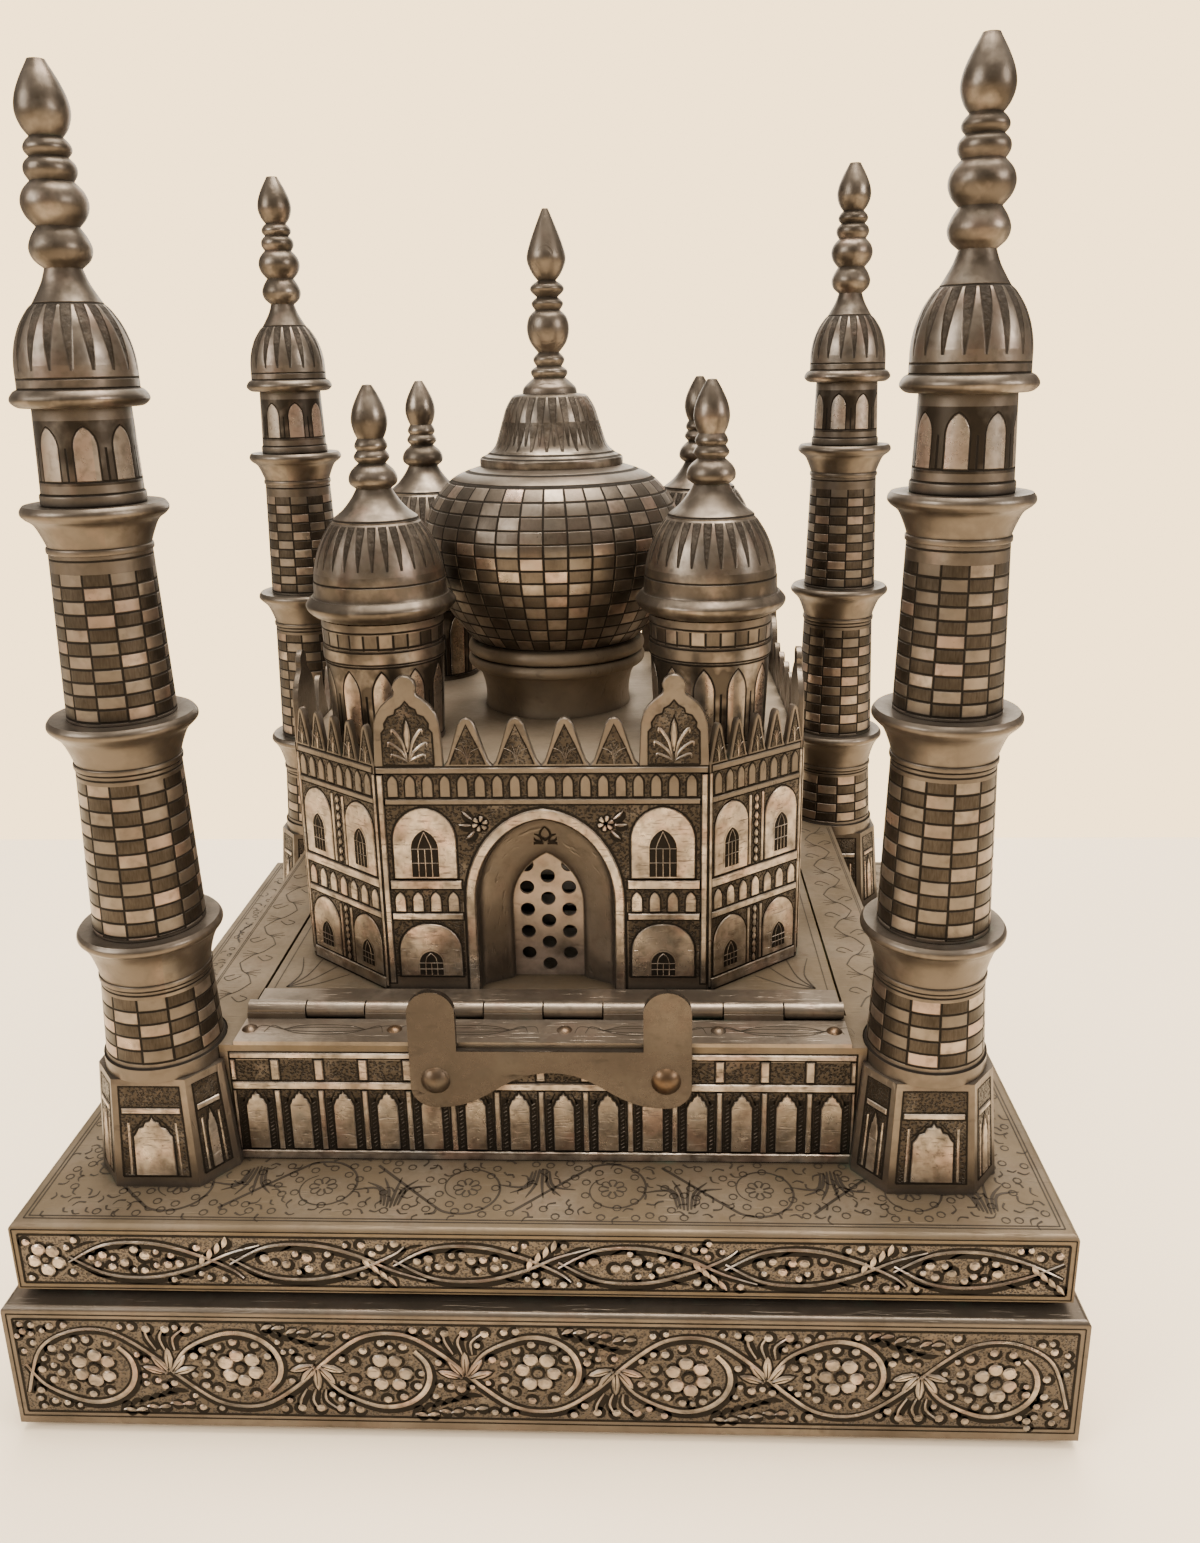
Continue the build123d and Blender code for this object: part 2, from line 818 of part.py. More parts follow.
def hinge_leaf_rivets():
    """The domed rivets that hold the fixed leaf."""
    head = rivet_head(leaf_rivet_radius, leaf_rivet_height)
    y = leaf_rivet_set_back - wall_y
    z = rim_z + leaf_thickness
    rivets = [leaf_shank(x) + Pos(x, y, z) * head for x in leaf_rivet_places()]
    return Compound(children=rivets)


def hinge_pin():
    """The pin through all the knuckles."""
    half = hinge_length / 2
    return rod_along_x(pin_radius, -half, half, hinge_y, hinge_z)


def ear_top_z():
    """The ears' tops, where the opened hall's front wall comes to lie."""
    return hinge_z + hall_set_back - ear_touch_gap


def lid_stop_plate():
    """The plate on the front wall whose two round-topped ears carry the opened lid."""
    y = -wall_y
    top = ear_top_z()
    bar_z = rim_z - bar_drop
    low = bar_z - lobe_depth
    shoulder = bar_z - ear_outer_depth
    outer = ear_half_spacing + ear_width / 2
    inner = ear_half_spacing - ear_width / 2
    crown = top - ear_width / 2
    lobe_x = ear_half_spacing - ear_width * 0.1
    half_edges = []
    for side in (-1, 1):
        corner = (side * inner, y, bar_z)
        half_edges += [
            Line(corner, (side * inner, y, crown)),
            ThreePointArc(
                (side * inner, y, crown), (side * ear_half_spacing, y, top),
                (side * outer, y, crown),
            ),
            Line((side * outer, y, crown), (side * outer, y, shoulder)),
            ThreePointArc(
                (side * outer, y, shoulder),
                (side * (outer - 0.26 * (outer - lobe_x)), y, low + 0.23 * (shoulder - low)),
                (side * lobe_x, y, low),
            ),
            Spline(
                (side * lobe_x, y, low), (0, y, bar_z - bar_middle_depth),
                tangents=((-side, 0, 0), (-side, 0, 0)),
            ),
        ]
    half_edges.append(Line((-inner, y, bar_z), (inner, y, bar_z)))
    plate = extrude(make_face(Curve() + half_edges), stop_sheet, dir=(0, -1, 0))
    plate = Pos(stop_centre_x, 0, 0) * plate
    for x in stop_rivet_places():
        plate -= stop_shank(x)
    return plate


def stop_rivet_places():
    """The two rivets of the stop plate along X."""
    return stop_centre_x - stop_rivet_x, stop_centre_x + stop_rivet_x


def stop_shank(x):
    """The shank of a stop plate rivet through the plate and the wall."""
    length = sheet + stop_sheet
    z = rim_z - bar_drop - stop_rivet_depth
    return Pos(x, -wall_y - stop_sheet + length / 2, z) * Rot(90, 0, 0) * Cylinder(
        stop_rivet_shank, length
    )


def stop_plate_rivets():
    """The two domed rivets of the stop plate."""
    head = Rot(90, 0, 0) * rivet_head(stop_rivet_radius, stop_rivet_height)
    y = -wall_y - stop_sheet
    z = rim_z - bar_drop - stop_rivet_depth
    rivets = [stop_shank(x) + Pos(x, y, z) * head for x in stop_rivet_places()]
    return Compound(children=rivets)


def lid_plate():
    """The flat lid with openings below the hall, so that the sound gets out through the grilles."""
    plate = block(-lid_half_width, lid_half_width, lid_front, lid_back, lid_under_z, rim_z)
    length = 2 * lid_half_width - 8 * tray_margin
    for index in range(sound_slots):
        y = hall_y + (index - (sound_slots - 1) / 2) * sound_slot_pitch
        plate -= slab(length, sound_slot_width, lid_under_z, rim_z, y)
    return plate


def mitre(index):
    """The prism that a hall wall fills between its mitred ends."""
    inner = inset_corners(hall_corners, wall_sheet)
    following = (index + 1) % len(hall_corners)
    corners = [hall_corners[index], hall_corners[following], inner[following], inner[index]]
    return prism(corners, rim_z, roof_z + tab_knob_height + merlon_height)


def wall_frame(index):
    """The place of a hall wall: its middle on the outer face, its length and its turn."""
    start = hall_corners[index]
    end = hall_corners[(index + 1) % len(hall_corners)]
    angle = math.degrees(math.atan2(end[1] - start[1], end[0] - start[0]))
    middle = Pos((start[0] + end[0]) / 2, (start[1] + end[1]) / 2, rim_z)
    return middle * Rot(0, 0, angle), math.dist(start, end)


def merlon_row(width, count, height):
    """A row of lancet merlons on the roof line, side by side."""
    pitch = width / count
    row = []
    for index in range(count):
        x = (index - (count - 1) / 2) * pitch
        row.append(Pos(x, 0, cornice_height) * pointed_tab(pitch, height, wall_sheet))
    return row


def facade(index):
    """One of the four main walls: a portal arch below, two tall tabs and merlons above."""
    place, length = wall_frame(index)
    wall = block(-length / 2, length / 2, 0, wall_sheet, 0, cornice_height)
    for side in (-1, 1):
        x = side * (length - tab_width) / 2
        for width, spring, height in (
            (tab_width, tab_shoulder, tab_height),
            (tab_knob_width, tab_height - 1, tab_knob_height),
        ):
            tab = extrude(arch_face(width, spring, height), wall_sheet, dir=(0, 1, 0))
            wall += Pos(x, 0, cornice_height) * tab
    for merlon in merlon_row(length - 2 * tab_width, facade_merlons, merlon_height):
        wall += merlon
    arch = arch_face(portal_width, portal_spring, portal_height)
    wall -= extrude(arch, wall_sheet, dir=(0, 1, 0))
    return (place * wall) & mitre(index)


def corner_walls():
    """The four slanting walls between the main ones, each with a row of merlons."""
    walls = []
    for index in range(1, len(hall_corners), 2):
        place, length = wall_frame(index)
        wall = block(-length / 2, length / 2, 0, wall_sheet, 0, cornice_height)
        for merlon in merlon_row(length, corner_merlons, corner_merlon_height):
            wall += merlon
        walls.append((place * wall) & mitre(index))
    return Compound(children=walls)


def niche_body(grow):
    """The tapering space of a portal niche, widened by grow, behind the wall."""
    outer = arch_face(portal_width, portal_spring, portal_height, wall_sheet, grow)
    back = wall_sheet + niche_depth
    inner = arch_face(door_width, door_spring, door_height, back, grow)
    return loft([outer, inner], ruled=True)


def portal_niches():
    """The hollow niche behind each portal arch, narrowing to the door."""
    shell = niche_body(niche_wall) - niche_body(0)
    return Compound(children=[wall_frame(index)[0] * shell for index in range(0, 8, 2)])


def grille_sheet_body():
    """A flat sheet across the back of a niche with staggered round holes."""
    y0 = wall_sheet + niche_depth
    half = door_width / 2 + grille_margin
    sheet_body = block(-half, half, y0, y0 + grille_sheet, 0, door_height + grille_margin)
    column_pitch = grille_pitch * math.cos(math.radians(30))
    columns = int(door_width / 2 / column_pitch)
    rows = int(door_height / grille_pitch)
    for column in range(-columns, columns + 1):
        shift = 0.5 if column % 2 else 0.0
        for row in range(rows):
            z = grille_pitch * (row + 0.5 + shift)
            hole = Pos(column * column_pitch, y0 + grille_sheet / 2, z) * Rot(90, 0, 0)
            sheet_body -= hole * Cylinder(grille_hole_radius, grille_sheet)
    return sheet_body


def portal_grilles():
    """The perforated sheet behind each niche."""
    body = grille_sheet_body()
    return Compound(children=[wall_frame(index)[0] * body for index in range(0, 8, 2)])


def roof_plate():
    """The flat roof inside the walls, level with the cornice."""
    corners = inset_corners(hall_corners, wall_sheet)
    return prism(corners, roof_z - roof_sheet, roof_z)


def dome_drum():
    """The hollow-curved drum under the main dome, ending in a double ring."""
    z0 = roof_z
    z1 = z0 + dome_drum_height
    z2 = z1 + dome_ring_height
    bore = dome_drum_radius - dome_wall
    rise = dome_ring_radius - dome_drum_radius
    bead = dome_ring_height / 4
    neck = dome_ring_radius - bead
    drum = spun([
        (bore, z0),
        (dome_drum_radius, z0),
        [(dome_drum_radius + rise * 0.2, z0 + dome_drum_height * 0.55), (neck, z1)],
        [(dome_ring_radius, z1 + bead), (neck, z1 + 2 * bead)],
        [(dome_ring_radius, z1 + 3 * bead), (neck, z2)],
        (bore, z2),
    ])
    return Pos(0, hall_y, 0) * drum


def bulb_curve(start, end, wide, z0, height):
    """Points up the side of the onion-shaped bulb, after its start."""
    return [
        (start + (wide - start) * 0.60, z0 + height * 0.22),
        (start + (wide - start) * 0.88, z0 + height * 0.39),
        (wide, z0 + height * 0.56),
        (end + (wide - end) * 0.90, z0 + height * 0.74),
        (end + (wide - end) * 0.71, z0 + height * 0.85),
        (end, z0 + height),
    ]


def main_dome():
    """The chequered onion dome, a hollow shell."""
    z0 = roof_z + dome_drum_height + dome_ring_height
    z1 = z0 + bulb_height
    foot = dome_ring_radius - dome_ring_height / 4
    outer = bulb_curve(foot, lotus_foot_radius, bulb_radius, z0, bulb_height)
    inner_foot = foot - dome_wall
    inner_top = lotus_foot_radius - dome_wall
    inner = bulb_curve(inner_foot, inner_top, bulb_radius - dome_wall, z0, bulb_height)
    inner_route = inner[:-1][::-1] + [(inner_foot, z0)]
    bulb = spun([(inner_foot, z0), (foot, z0), outer, (inner_top, z1), inner_route])
    return Pos(0, hall_y, 0) * bulb


def bulb_top_z():
    """The height at which the lotus cap starts."""
    return roof_z + dome_drum_height + dome_ring_height + bulb_height


def dome_lotus_cap():
    """The fluted bell on the bulb: a plain band below and petals that close upwards."""
    z0 = bulb_top_z()
    z1 = z0 + lotus_band_height
    top = z0 + lotus_height
    wide = lotus_foot_radius
    narrow = lotus_top_radius
    bore = narrow - dome_wall
    rise = top - z1
    cap = spun([
        (bore, z0),
        (wide, z0),
        (wide, z1),
        [(narrow + (wide - narrow) * 0.6, z1 + rise * 0.17),
         (narrow + (wide - narrow) * 0.4, z1 + rise * 0.5),
         (narrow + (wide - narrow) * 0.24, z1 + rise * 0.82),
         (narrow, top)],
        (bore, top),
    ])
    return Pos(0, hall_y, 0) * cap


def dome_finial():
    """The tall finial of the main dome."""
    ring = (dome_finial_ring_height, dome_finial_ring_radius)
    ball = (dome_finial_ball_height, dome_finial_ball_radius)
    finial = turned_finial(
        bulb_top_z() + lotus_height, dome_finial_foot_radius, dome_finial_foot_height,
        dome_finial_neck_radius, [ring, ring, ball, ring, ring],
        dome_finial_bud_height, dome_finial_bud_radius, dome_finial_tip_radius,
    )
    return Pos(0, hall_y, 0) * finial


def kiosk_drum(x, y):
    """The arcaded drum of a corner kiosk, a tube that widens upwards."""
    bore = kiosk_drum_bottom_radius - kiosk_drum_wall
    drum = tube(
        kiosk_drum_bottom_radius, kiosk_drum_top_radius, bore, roof_z, roof_z + kiosk_drum_height
    )
    return Pos(x, y, 0) * drum


def kiosk_cap(x, y):
    """The bell dome and finial of a corner kiosk."""
    z = roof_z + kiosk_drum_height
    bell = bell_cap(
        z, kiosk_drum_bottom_radius - kiosk_drum_wall, kiosk_flange_radius,
        kiosk_flange_height, kiosk_band_radius, kiosk_band_height, kiosk_bell_height,
        kiosk_neck_radius, cap_wall,
    )
    ring = (kiosk_finial_ring_height, kiosk_finial_ring_radius)
    finial = turned_finial(
        z + kiosk_flange_height + kiosk_band_height + kiosk_bell_height, kiosk_neck_radius,
        kiosk_finial_foot_height, kiosk_finial_neck_radius,
        [(kiosk_finial_ball_height, kiosk_finial_ball_radius), ring, ring],
        kiosk_finial_bud_height, kiosk_finial_bud_radius, kiosk_finial_tip_radius,
    )
    return Pos(x, y, 0) * Compound(children=[bell, finial])


def key_well():
    """The cup in the bottom board that the winding key hangs in, with a flange on the board."""
    board_top = base_z + board_thickness
    well = rod(well_radius + well_flange, board_top, board_top + well_wall)
    well += rod(well_radius, base_z, well_top_z)
    well -= rod(well_radius - well_wall, base_z, well_top_z - well_wall)
    well -= rod(arbor_radius + arbor_gap, well_top_z - well_wall, well_top_z)
    for x, y in bedplate_screw_places():
        well -= bedplate_screw(x, y)
    return well


def bedplate_screw_places():
    """The screws that hold the bedplate on the well, on a circle inside the well's wall."""
    reach = well_radius - well_wall - bedplate_screw_inset
    angles = [math.radians(90 + 120 * step) for step in range(3)]
    return [(reach * math.cos(angle), reach * math.sin(angle)) for angle in angles]


def bedplate_screw(x, y):
    """A cheese-head screw from inside the well up into the bedplate."""
    head_z = well_top_z - well_wall
    outline = [
        (0, head_z - bedplate_screw_radius),
        (2 * bedplate_screw_radius, head_z - bedplate_screw_radius),
        (2 * bedplate_screw_radius, head_z),
        (bedplate_screw_radius, head_z),
        (bedplate_screw_radius, bedplate_top_z),
        (0, bedplate_top_z),
    ]
    return Pos(x, y, 0) * spun(outline)


def bedplate_screws():
    """The three screws under the movement."""
    return Compound(children=[bedplate_screw(x, y) for x, y in bedplate_screw_places()])


def blade_start():
    """The near end along X of the fly's blades, clear of the stop rod's foot."""
    return rod_place()[0] + rod_foot_radius + hull_gap


def bearing_places():
    """The near faces along X of the two bearings of the cylinder and the outer one of the fly."""
    first = cylinder_start - hull_gap - bearing_thickness
    second = fly_gear_x + fly_gear_width / 2 + hull_gap
    third = blade_start() + fly_length + 2 * hull_gap
    return first, second, third


def comb_plan():
    """The comb's tip, its root edge and its underside."""
    tip = -(cylinder_radius + cylinder_pin_height + comb_tip_gap)
    return tip, tip - comb_depth, cylinder_z - comb_sheet / 2


def bedplate():
    """The movement's cast plate: a bush for the arbor, three bearings and a rest for the comb."""
    tip, root, under = comb_plan()
    first, second, third = bearing_places()
    reach = barrel_radius + bedplate_margin
    right = third + bearing_thickness + bedplate_side_step
    plate = block(-reach, right, root - bedplate_side_step, reach, well_top_z, bedplate_top_z)
    plate += rod(2 * arbor_radius, bedplate_top_z, barrel_z - hull_gap)
    half = bearing_width / 2
    for x, y0, y1 in (
        (first, -half, half), (second, -half, fly_y + half), (third, fly_y - half, fly_y + half)
    ):
        plate += block(x, x + bearing_thickness, y0, y1, bedplate_top_z, cylinder_z + half)
    rest_front = tip - comb_tooth_depth - hull_gap
    plate += block(cylinder_start, cylinder_end, root, rest_front, bedplate_top_z, under)
    bore = cylinder_shaft_radius + arbor_gap
    plate -= rod_along_x(bore, first, second + bearing_thickness, 0, cylinder_z)
    plate -= rod_along_x(bore, second, third + bearing_thickness, fly_y, cylinder_z)
    plate -= rod(arbor_radius + arbor_gap, well_top_z, barrel_z)
    for x, y in bedplate_screw_places():
        plate -= bedplate_screw(x, y)
    for x in comb_screw_places():
        plate -= comb_screw(x)
    return plate


def tooth(length, width, thickness):
    """A gear tooth along +X from the origin, wider at its root than at its tip."""
    corners = [(0, -width * 0.75), (length, -width / 2), (length, width / 2), (0, width * 0.75)]
    return prism(corners, -thickness / 2, thickness / 2)


def spur_gear(teeth, pitch_radius, tooth_height, tooth_width, thickness, first=0.0):
    """A small spur gear about Z, centred on the origin, its first tooth at an angle from +X."""
    root = pitch_radius - tooth_height / 2
    gear = Cylinder(root, thickness)
    overlap = root / 10
    one = Pos(root - overlap, 0, 0) * tooth(tooth_height + overlap, tooth_width, thickness)
    for index in range(teeth):
        gear += Rot(0, 0, first + 360 * index / teeth) * one
    return gear


def spring_barrel():
    """The drum that holds the mainspring, with a crown of teeth on its top edge."""
    barrel = rod(barrel_radius, barrel_z, barrel_top_z)
    barrel -= rod(
        barrel_radius - barrel_wall, barrel_z + barrel_wall, barrel_top_z - barrel_wall
    )
    barrel -= rod(arbor_radius + arbor_gap, barrel_z, barrel_top_z)
    inner = barrel_radius - crown_tooth_length
    half = crown_tooth_width / 2
    one = block(inner, barrel_radius, -half, half, barrel_top_z - barrel_wall / 2, crown_top_z)
    for index in range(crown_teeth):
        barrel += Rot(0, 0, 360 * (index + 0.5) / crown_teeth) * one
    return barrel


def winding_arbor():
    """The arbor that the key turns, through the well, the bedplate and the barrel."""
    return rod(arbor_radius, key_wing_top_z(), barrel_top_z + arbor_radius / 2)


def key_wing_top_z():
    """The top of the key's wing, below the well's roof."""
    return well_top_z - well_wall - 2 * key_tail


def winding_key():
    """The winged key on the arbor's lower end, inside the well."""
    top = key_wing_top_z()
    key = rod(key_shank_radius, top - key_tail, top + key_tail)
    wing = slab(key_wing_width, key_wing_thickness, top - key_wing_height, top - key_tail)
    for side in (-1, 1):
        lobe = Pos(side * key_wing_width / 2, 0, top - key_wing_height / 2 - key_tail / 2)
        wing += lobe * Rot(90, 0, 0) * Cylinder(
            (key_wing_height - key_tail) / 2, key_wing_thickness
        )
    key += wing
    return key - rod(arbor_radius, top, top + key_tail)


def tune_cylinder():
    """The pinned cylinder on its shaft, with the pinion and the gear that drives the fly."""
    end = bearing_places()[1] + bearing_thickness + fit_gap
    start = crown_radius - pinion_width / 2
    cylinder = rod_along_x(cylinder_shaft_radius, start, end, 0, cylinder_z)
    cylinder += rod_along_x(cylinder_radius, cylinder_start, cylinder_end, 0, cylinder_z)
    cylinder += rod_along_x(2 * cylinder_shaft_radius, cylinder_end, fly_gear_x, 0, cylinder_z)
    pinion = spur_gear(
        pinion_teeth, pinion_pitch_radius, pinion_tooth_height, pinion_tooth_width, pinion_width
    )
    cylinder += Pos(crown_radius, 0, cylinder_z) * Rot(0, 90, 0) * pinion
    gear = spur_gear(
        fly_gear_teeth, fly_pitch_radius, fly_tooth_height, fly_tooth_width, fly_gear_width
    )
    cylinder += Pos(fly_gear_x, 0, cylinder_z) * Rot(0, 90, 0) * gear
    pitch = cylinder_length / comb_teeth
    for index in range(comb_teeth):
        pin = rod(cylinder_pin_radius, cylinder_radius / 2, cylinder_radius + cylinder_pin_height)
        turn = Rot(cylinder_first_pin + cylinder_pin_step * index, 0, 0)
        cylinder += Pos(cylinder_start + (index + 0.5) * pitch, 0, cylinder_z) * turn * pin
    return cylinder


def comb():
    """The steel comb whose tuned teeth the cylinder's pins pluck."""
    tip, root, under = comb_plan()
    body = block(cylinder_start, cylinder_end, root, tip, under, under + comb_sheet)
    pitch = cylinder_length / comb_teeth
    half = comb_slot / 2
    for index in range(1, comb_teeth):
        x = cylinder_start + index * pitch
        body -= block(
            x - half, x + half, tip - comb_tooth_depth, tip, under, under + comb_sheet
        )
    for x in comb_screw_places():
        body -= comb_screw(x)
    return body


def comb_screw_places():
    """The comb's two screws along X."""
    quarter = cylinder_length / 4
    return cylinder_start + quarter, cylinder_end - quarter


def comb_screw(x):
    """A screw through the comb into the bedplate's rest."""
    tip, root, under = comb_plan()
    y = (root + tip - comb_tooth_depth) / 2
    top = under + comb_sheet
    outline = [
        (0, bedplate_top_z),
        (comb_screw_radius, bedplate_top_z),
        (comb_screw_radius, top),
        (comb_screw_radius * 1.8, top),
        (comb_screw_radius * 1.8, top + comb_screw_radius),
        (0, top + comb_screw_radius),
    ]
    return Pos(x, y, 0) * spun(outline)


def comb_screws():
    """The two screws of the comb."""
    return Compound(children=[comb_screw(x) for x in comb_screw_places()])


def fly():
    """The air brake: a pinion, a brake disc and two blades on an arbor along the cylinder."""
    _, second, third = bearing_places()
    start = fly_gear_x - fly_gear_width
    end = third + bearing_thickness + fit_gap
    body = rod_along_x(cylinder_shaft_radius, start, end, fly_y, cylinder_z)
    pinion = spur_gear(
        fly_pinion_teeth, fly_pinion_pitch, fly_tooth_height, fly_tooth_width,
        fly_gear_width, 180 / fly_pinion_teeth,
    )
    body += Pos(fly_gear_x, fly_y, cylinder_z) * Rot(0, 90, 0) * pinion
    disc_x = rod_place()[0]
    half_disc = brake_disc_width / 2
    body += rod_along_x(
        brake_disc_radius, disc_x - half_disc, disc_x + half_disc, fly_y, cylinder_z
    )
    half = fly_blade / 2
    body += block(
        blade_start(), blade_start() + fly_length, fly_y - fly_radius, fly_y + fly_radius,
        cylinder_z - half, cylinder_z + half,
    )
    return body


def stop_rod():
    """The rod that the closed lid holds down on the fly's brake disc, with two wide ends."""
    x, y = rod_place()
    top = lid_under_z - hull_gap
    foot = cylinder_z + brake_disc_radius + hull_gap
    body = rod(rod_radius, foot, top, x, y)
    body += rod(rod_head_radius, top - rod_head_height, top, x, y)
    body += rod(rod_foot_radius, foot, foot + rod_head_height, x, y)
    return body


pieces = {
    "lower_tier": lower_tier(),
    "upper_tier": upper_tier(),
    "bottom_board": bottom_board(),
    "corner_blocks": corner_blocks(),
    "board_screws": board_screws(),
    "base_glides": base_glides(),
    "platform_front_wall": platform_front_wall(),
    "platform_rear_and_side_walls": platform_rear_and_side_walls(),
    "platform_rim": platform_rim(),
    "compartment_tray": compartment_tray(),
    "fixed_hinge_leaf": fixed_hinge_leaf(),
    "hinge_leaf_rivets": hinge_leaf_rivets(),
    "hinge_pin": hinge_pin(),
    "lid_stop_plate": lid_stop_plate(),
    "stop_plate_rivets": stop_plate_rivets(),
    "lid_plate": lid_plate(),
    "lid_hinge_leaf": lid_hinge_leaf(),
    "front_facade": facade(0),
    "right_facade": facade(2),
    "rear_facade": facade(4),
    "left_facade": facade(6),
    "corner_walls": corner_walls(),
    "portal_niches": portal_niches(),
    "portal_grilles": portal_grilles(),
    "roof_plate": roof_plate(),
    "dome_drum": dome_drum(),
    "main_dome": main_dome(),
    "dome_lotus_cap": dome_lotus_cap(),
    "dome_finial": dome_finial(),
    "key_well": key_well(),
    "bedplate": bedplate(),
    "bedplate_screws": bedplate_screws(),
    "spring_barrel": spring_barrel(),
    "winding_arbor": winding_arbor(),
    "winding_key": winding_key(),
    "tune_cylinder": tune_cylinder(),
    "comb": comb(),
    "comb_screws": comb_screws(),
    "fly": fly(),
    "stop_rod": stop_rod(),
}
for name, (x, y) in minaret_places.items():
    pieces["minaret_" + name + "_foot"] = minaret_foot(x, y)
    pieces["minaret_" + name + "_tower"] = minaret_tower(x, y)
    pieces["minaret_" + name + "_cap"] = minaret_cap(x, y)
for name, (x, y) in kiosk_places.items():
    pieces["kiosk_" + name + "_drum"] = kiosk_drum(x, y)
    pieces["kiosk_" + name + "_cap"] = kiosk_cap(x, y)

os.makedirs("parts", exist_ok=True)
for name, piece in pieces.items():
    export_step(piece, "parts/" + name + ".step")
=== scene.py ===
"""Looks of an engraved metal music box shaped like a domed hall with four minarets."""

import logging
import math
import random
from dataclasses import dataclass
from enum import IntEnum
from typing import Iterable, Sequence

import bpy
from mathutils import Matrix, Vector
from mathutils.geometry import tessellate_polygon


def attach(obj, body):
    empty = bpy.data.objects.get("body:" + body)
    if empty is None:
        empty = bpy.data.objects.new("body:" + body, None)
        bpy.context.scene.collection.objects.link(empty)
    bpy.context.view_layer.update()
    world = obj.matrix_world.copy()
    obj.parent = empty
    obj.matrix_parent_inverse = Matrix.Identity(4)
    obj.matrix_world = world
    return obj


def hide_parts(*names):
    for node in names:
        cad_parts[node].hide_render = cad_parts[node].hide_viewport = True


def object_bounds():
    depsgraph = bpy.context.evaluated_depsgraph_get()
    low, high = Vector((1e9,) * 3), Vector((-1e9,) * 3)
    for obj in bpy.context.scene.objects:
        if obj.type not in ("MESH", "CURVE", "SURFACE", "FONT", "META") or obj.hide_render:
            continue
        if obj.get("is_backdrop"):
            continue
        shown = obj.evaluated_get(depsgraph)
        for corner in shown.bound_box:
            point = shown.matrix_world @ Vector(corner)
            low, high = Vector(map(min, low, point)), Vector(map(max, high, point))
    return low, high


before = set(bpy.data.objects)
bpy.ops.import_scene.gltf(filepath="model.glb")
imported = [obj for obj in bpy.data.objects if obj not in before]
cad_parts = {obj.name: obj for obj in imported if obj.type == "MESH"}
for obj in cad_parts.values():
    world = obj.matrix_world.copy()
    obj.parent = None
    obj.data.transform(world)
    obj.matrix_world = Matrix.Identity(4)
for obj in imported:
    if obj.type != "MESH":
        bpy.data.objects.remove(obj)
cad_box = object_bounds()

LOG = logging.getLogger("music_box")
MM = 0.001
SHARP_EDGE = 35.0
Point = tuple[float, float]
Colour = tuple[float, float, float]


class Coat(IntEnum):
    """The finish that a face of an engraved piece carries."""

    GROUND = 0
    BRIGHT = 1
    LINE = 2
    PLAIN = 3


@dataclass(frozen=True)
class Levels:
    """Heights and plan sizes in millimetres that the ornament is laid on."""

    base: float = 2.0
    lower_top: float = 28.3
    cove_top: float = 30.3
    deck: float = 44.2
    foot_top: float = 66.4
    rim_under: float = 67.7
    rim: float = 69.2
    roof: float = 118.0
    lower_half: Point = (98.6, 85.6)
    upper_half: Point = (96.0, 83.0)
    platform_half: Point = (71.0, 63.1)
    minaret: Point = (72.4, 60.5)
    lid_half: float = 58.6
    lid_front: float = -50.85
    lid_back: float = 56.6
    hall_y: float = 6.0
    kiosk: Point = (33.5, 27.7)


LEVELS = Levels()


# Arithmetic on shader values


class Value:
    """A number at each point of a surface, made by the nodes of one finish."""

    def __init__(self, finish: "Finish", socket: object) -> None:
        """Keep a socket or a plain number.

        Args:
            finish: The finish whose nodes hold the value.
            socket: An output socket, or a number.
        """
        self.finish = finish
        self.socket = socket

    def _do(self, operation: str, *others: object) -> "Value":
        """Run one step of arithmetic with this value first."""
        return self.finish.step(operation, self, *others)

    def __add__(self, other: object) -> "Value":
        """Return the sum."""
        return self._do("ADD", other)

    def __sub__(self, other: object) -> "Value":
        """Return the difference."""
        return self._do("SUBTRACT", other)

    def __mul__(self, other: object) -> "Value":
        """Return the product."""
        return self._do("MULTIPLY", other)

    def __truediv__(self, other: object) -> "Value":
        """Return the quotient."""
        return self._do("DIVIDE", other)

    def __abs__(self) -> "Value":
        """Return the value without its sign."""
        return self._do("ABSOLUTE")

    def above(self, other: object) -> "Value":
        """Return 1 where this is the greater, else 0."""
        return self._do("GREATER_THAN", other)

    def below(self, other: object) -> "Value":
        """Return 1 where this is the less, else 0."""
        return self._do("LESS_THAN", other)

    def least(self, other: object) -> "Value":
        """Return the lesser of the two."""
        return self._do("MINIMUM", other)

    def most(self, other: object) -> "Value":
        """Return the greater of the two."""
        return self._do("MAXIMUM", other)

    def floor(self) -> "Value":
        """Return the whole number below."""
        return self._do("FLOOR")

    def part(self) -> "Value":
        """Return what is left over the whole number below."""
        return self._do("FRACT")

    def root(self) -> "Value":
        """Return the square root."""
        return self._do("SQRT")

    def within(self, edge: object, blur: float) -> "Value":
        """Return 1 below an edge and 0 above it, with a soft step.

        Args:
            edge: Where the step is.
            blur: How wide the step is.

        Returns:
            The soft mask.
        """
        step = (self.finish.number(edge) - self) / blur + 0.5
        return step.clamped()

    def clamped(self) -> "Value":
        """Return the value held between 0 and 1."""
        return self.most(0.0).least(1.0)

    def inverse(self) -> "Value":
        """Return one minus the value."""
        return self.finish.number(1.0) - self


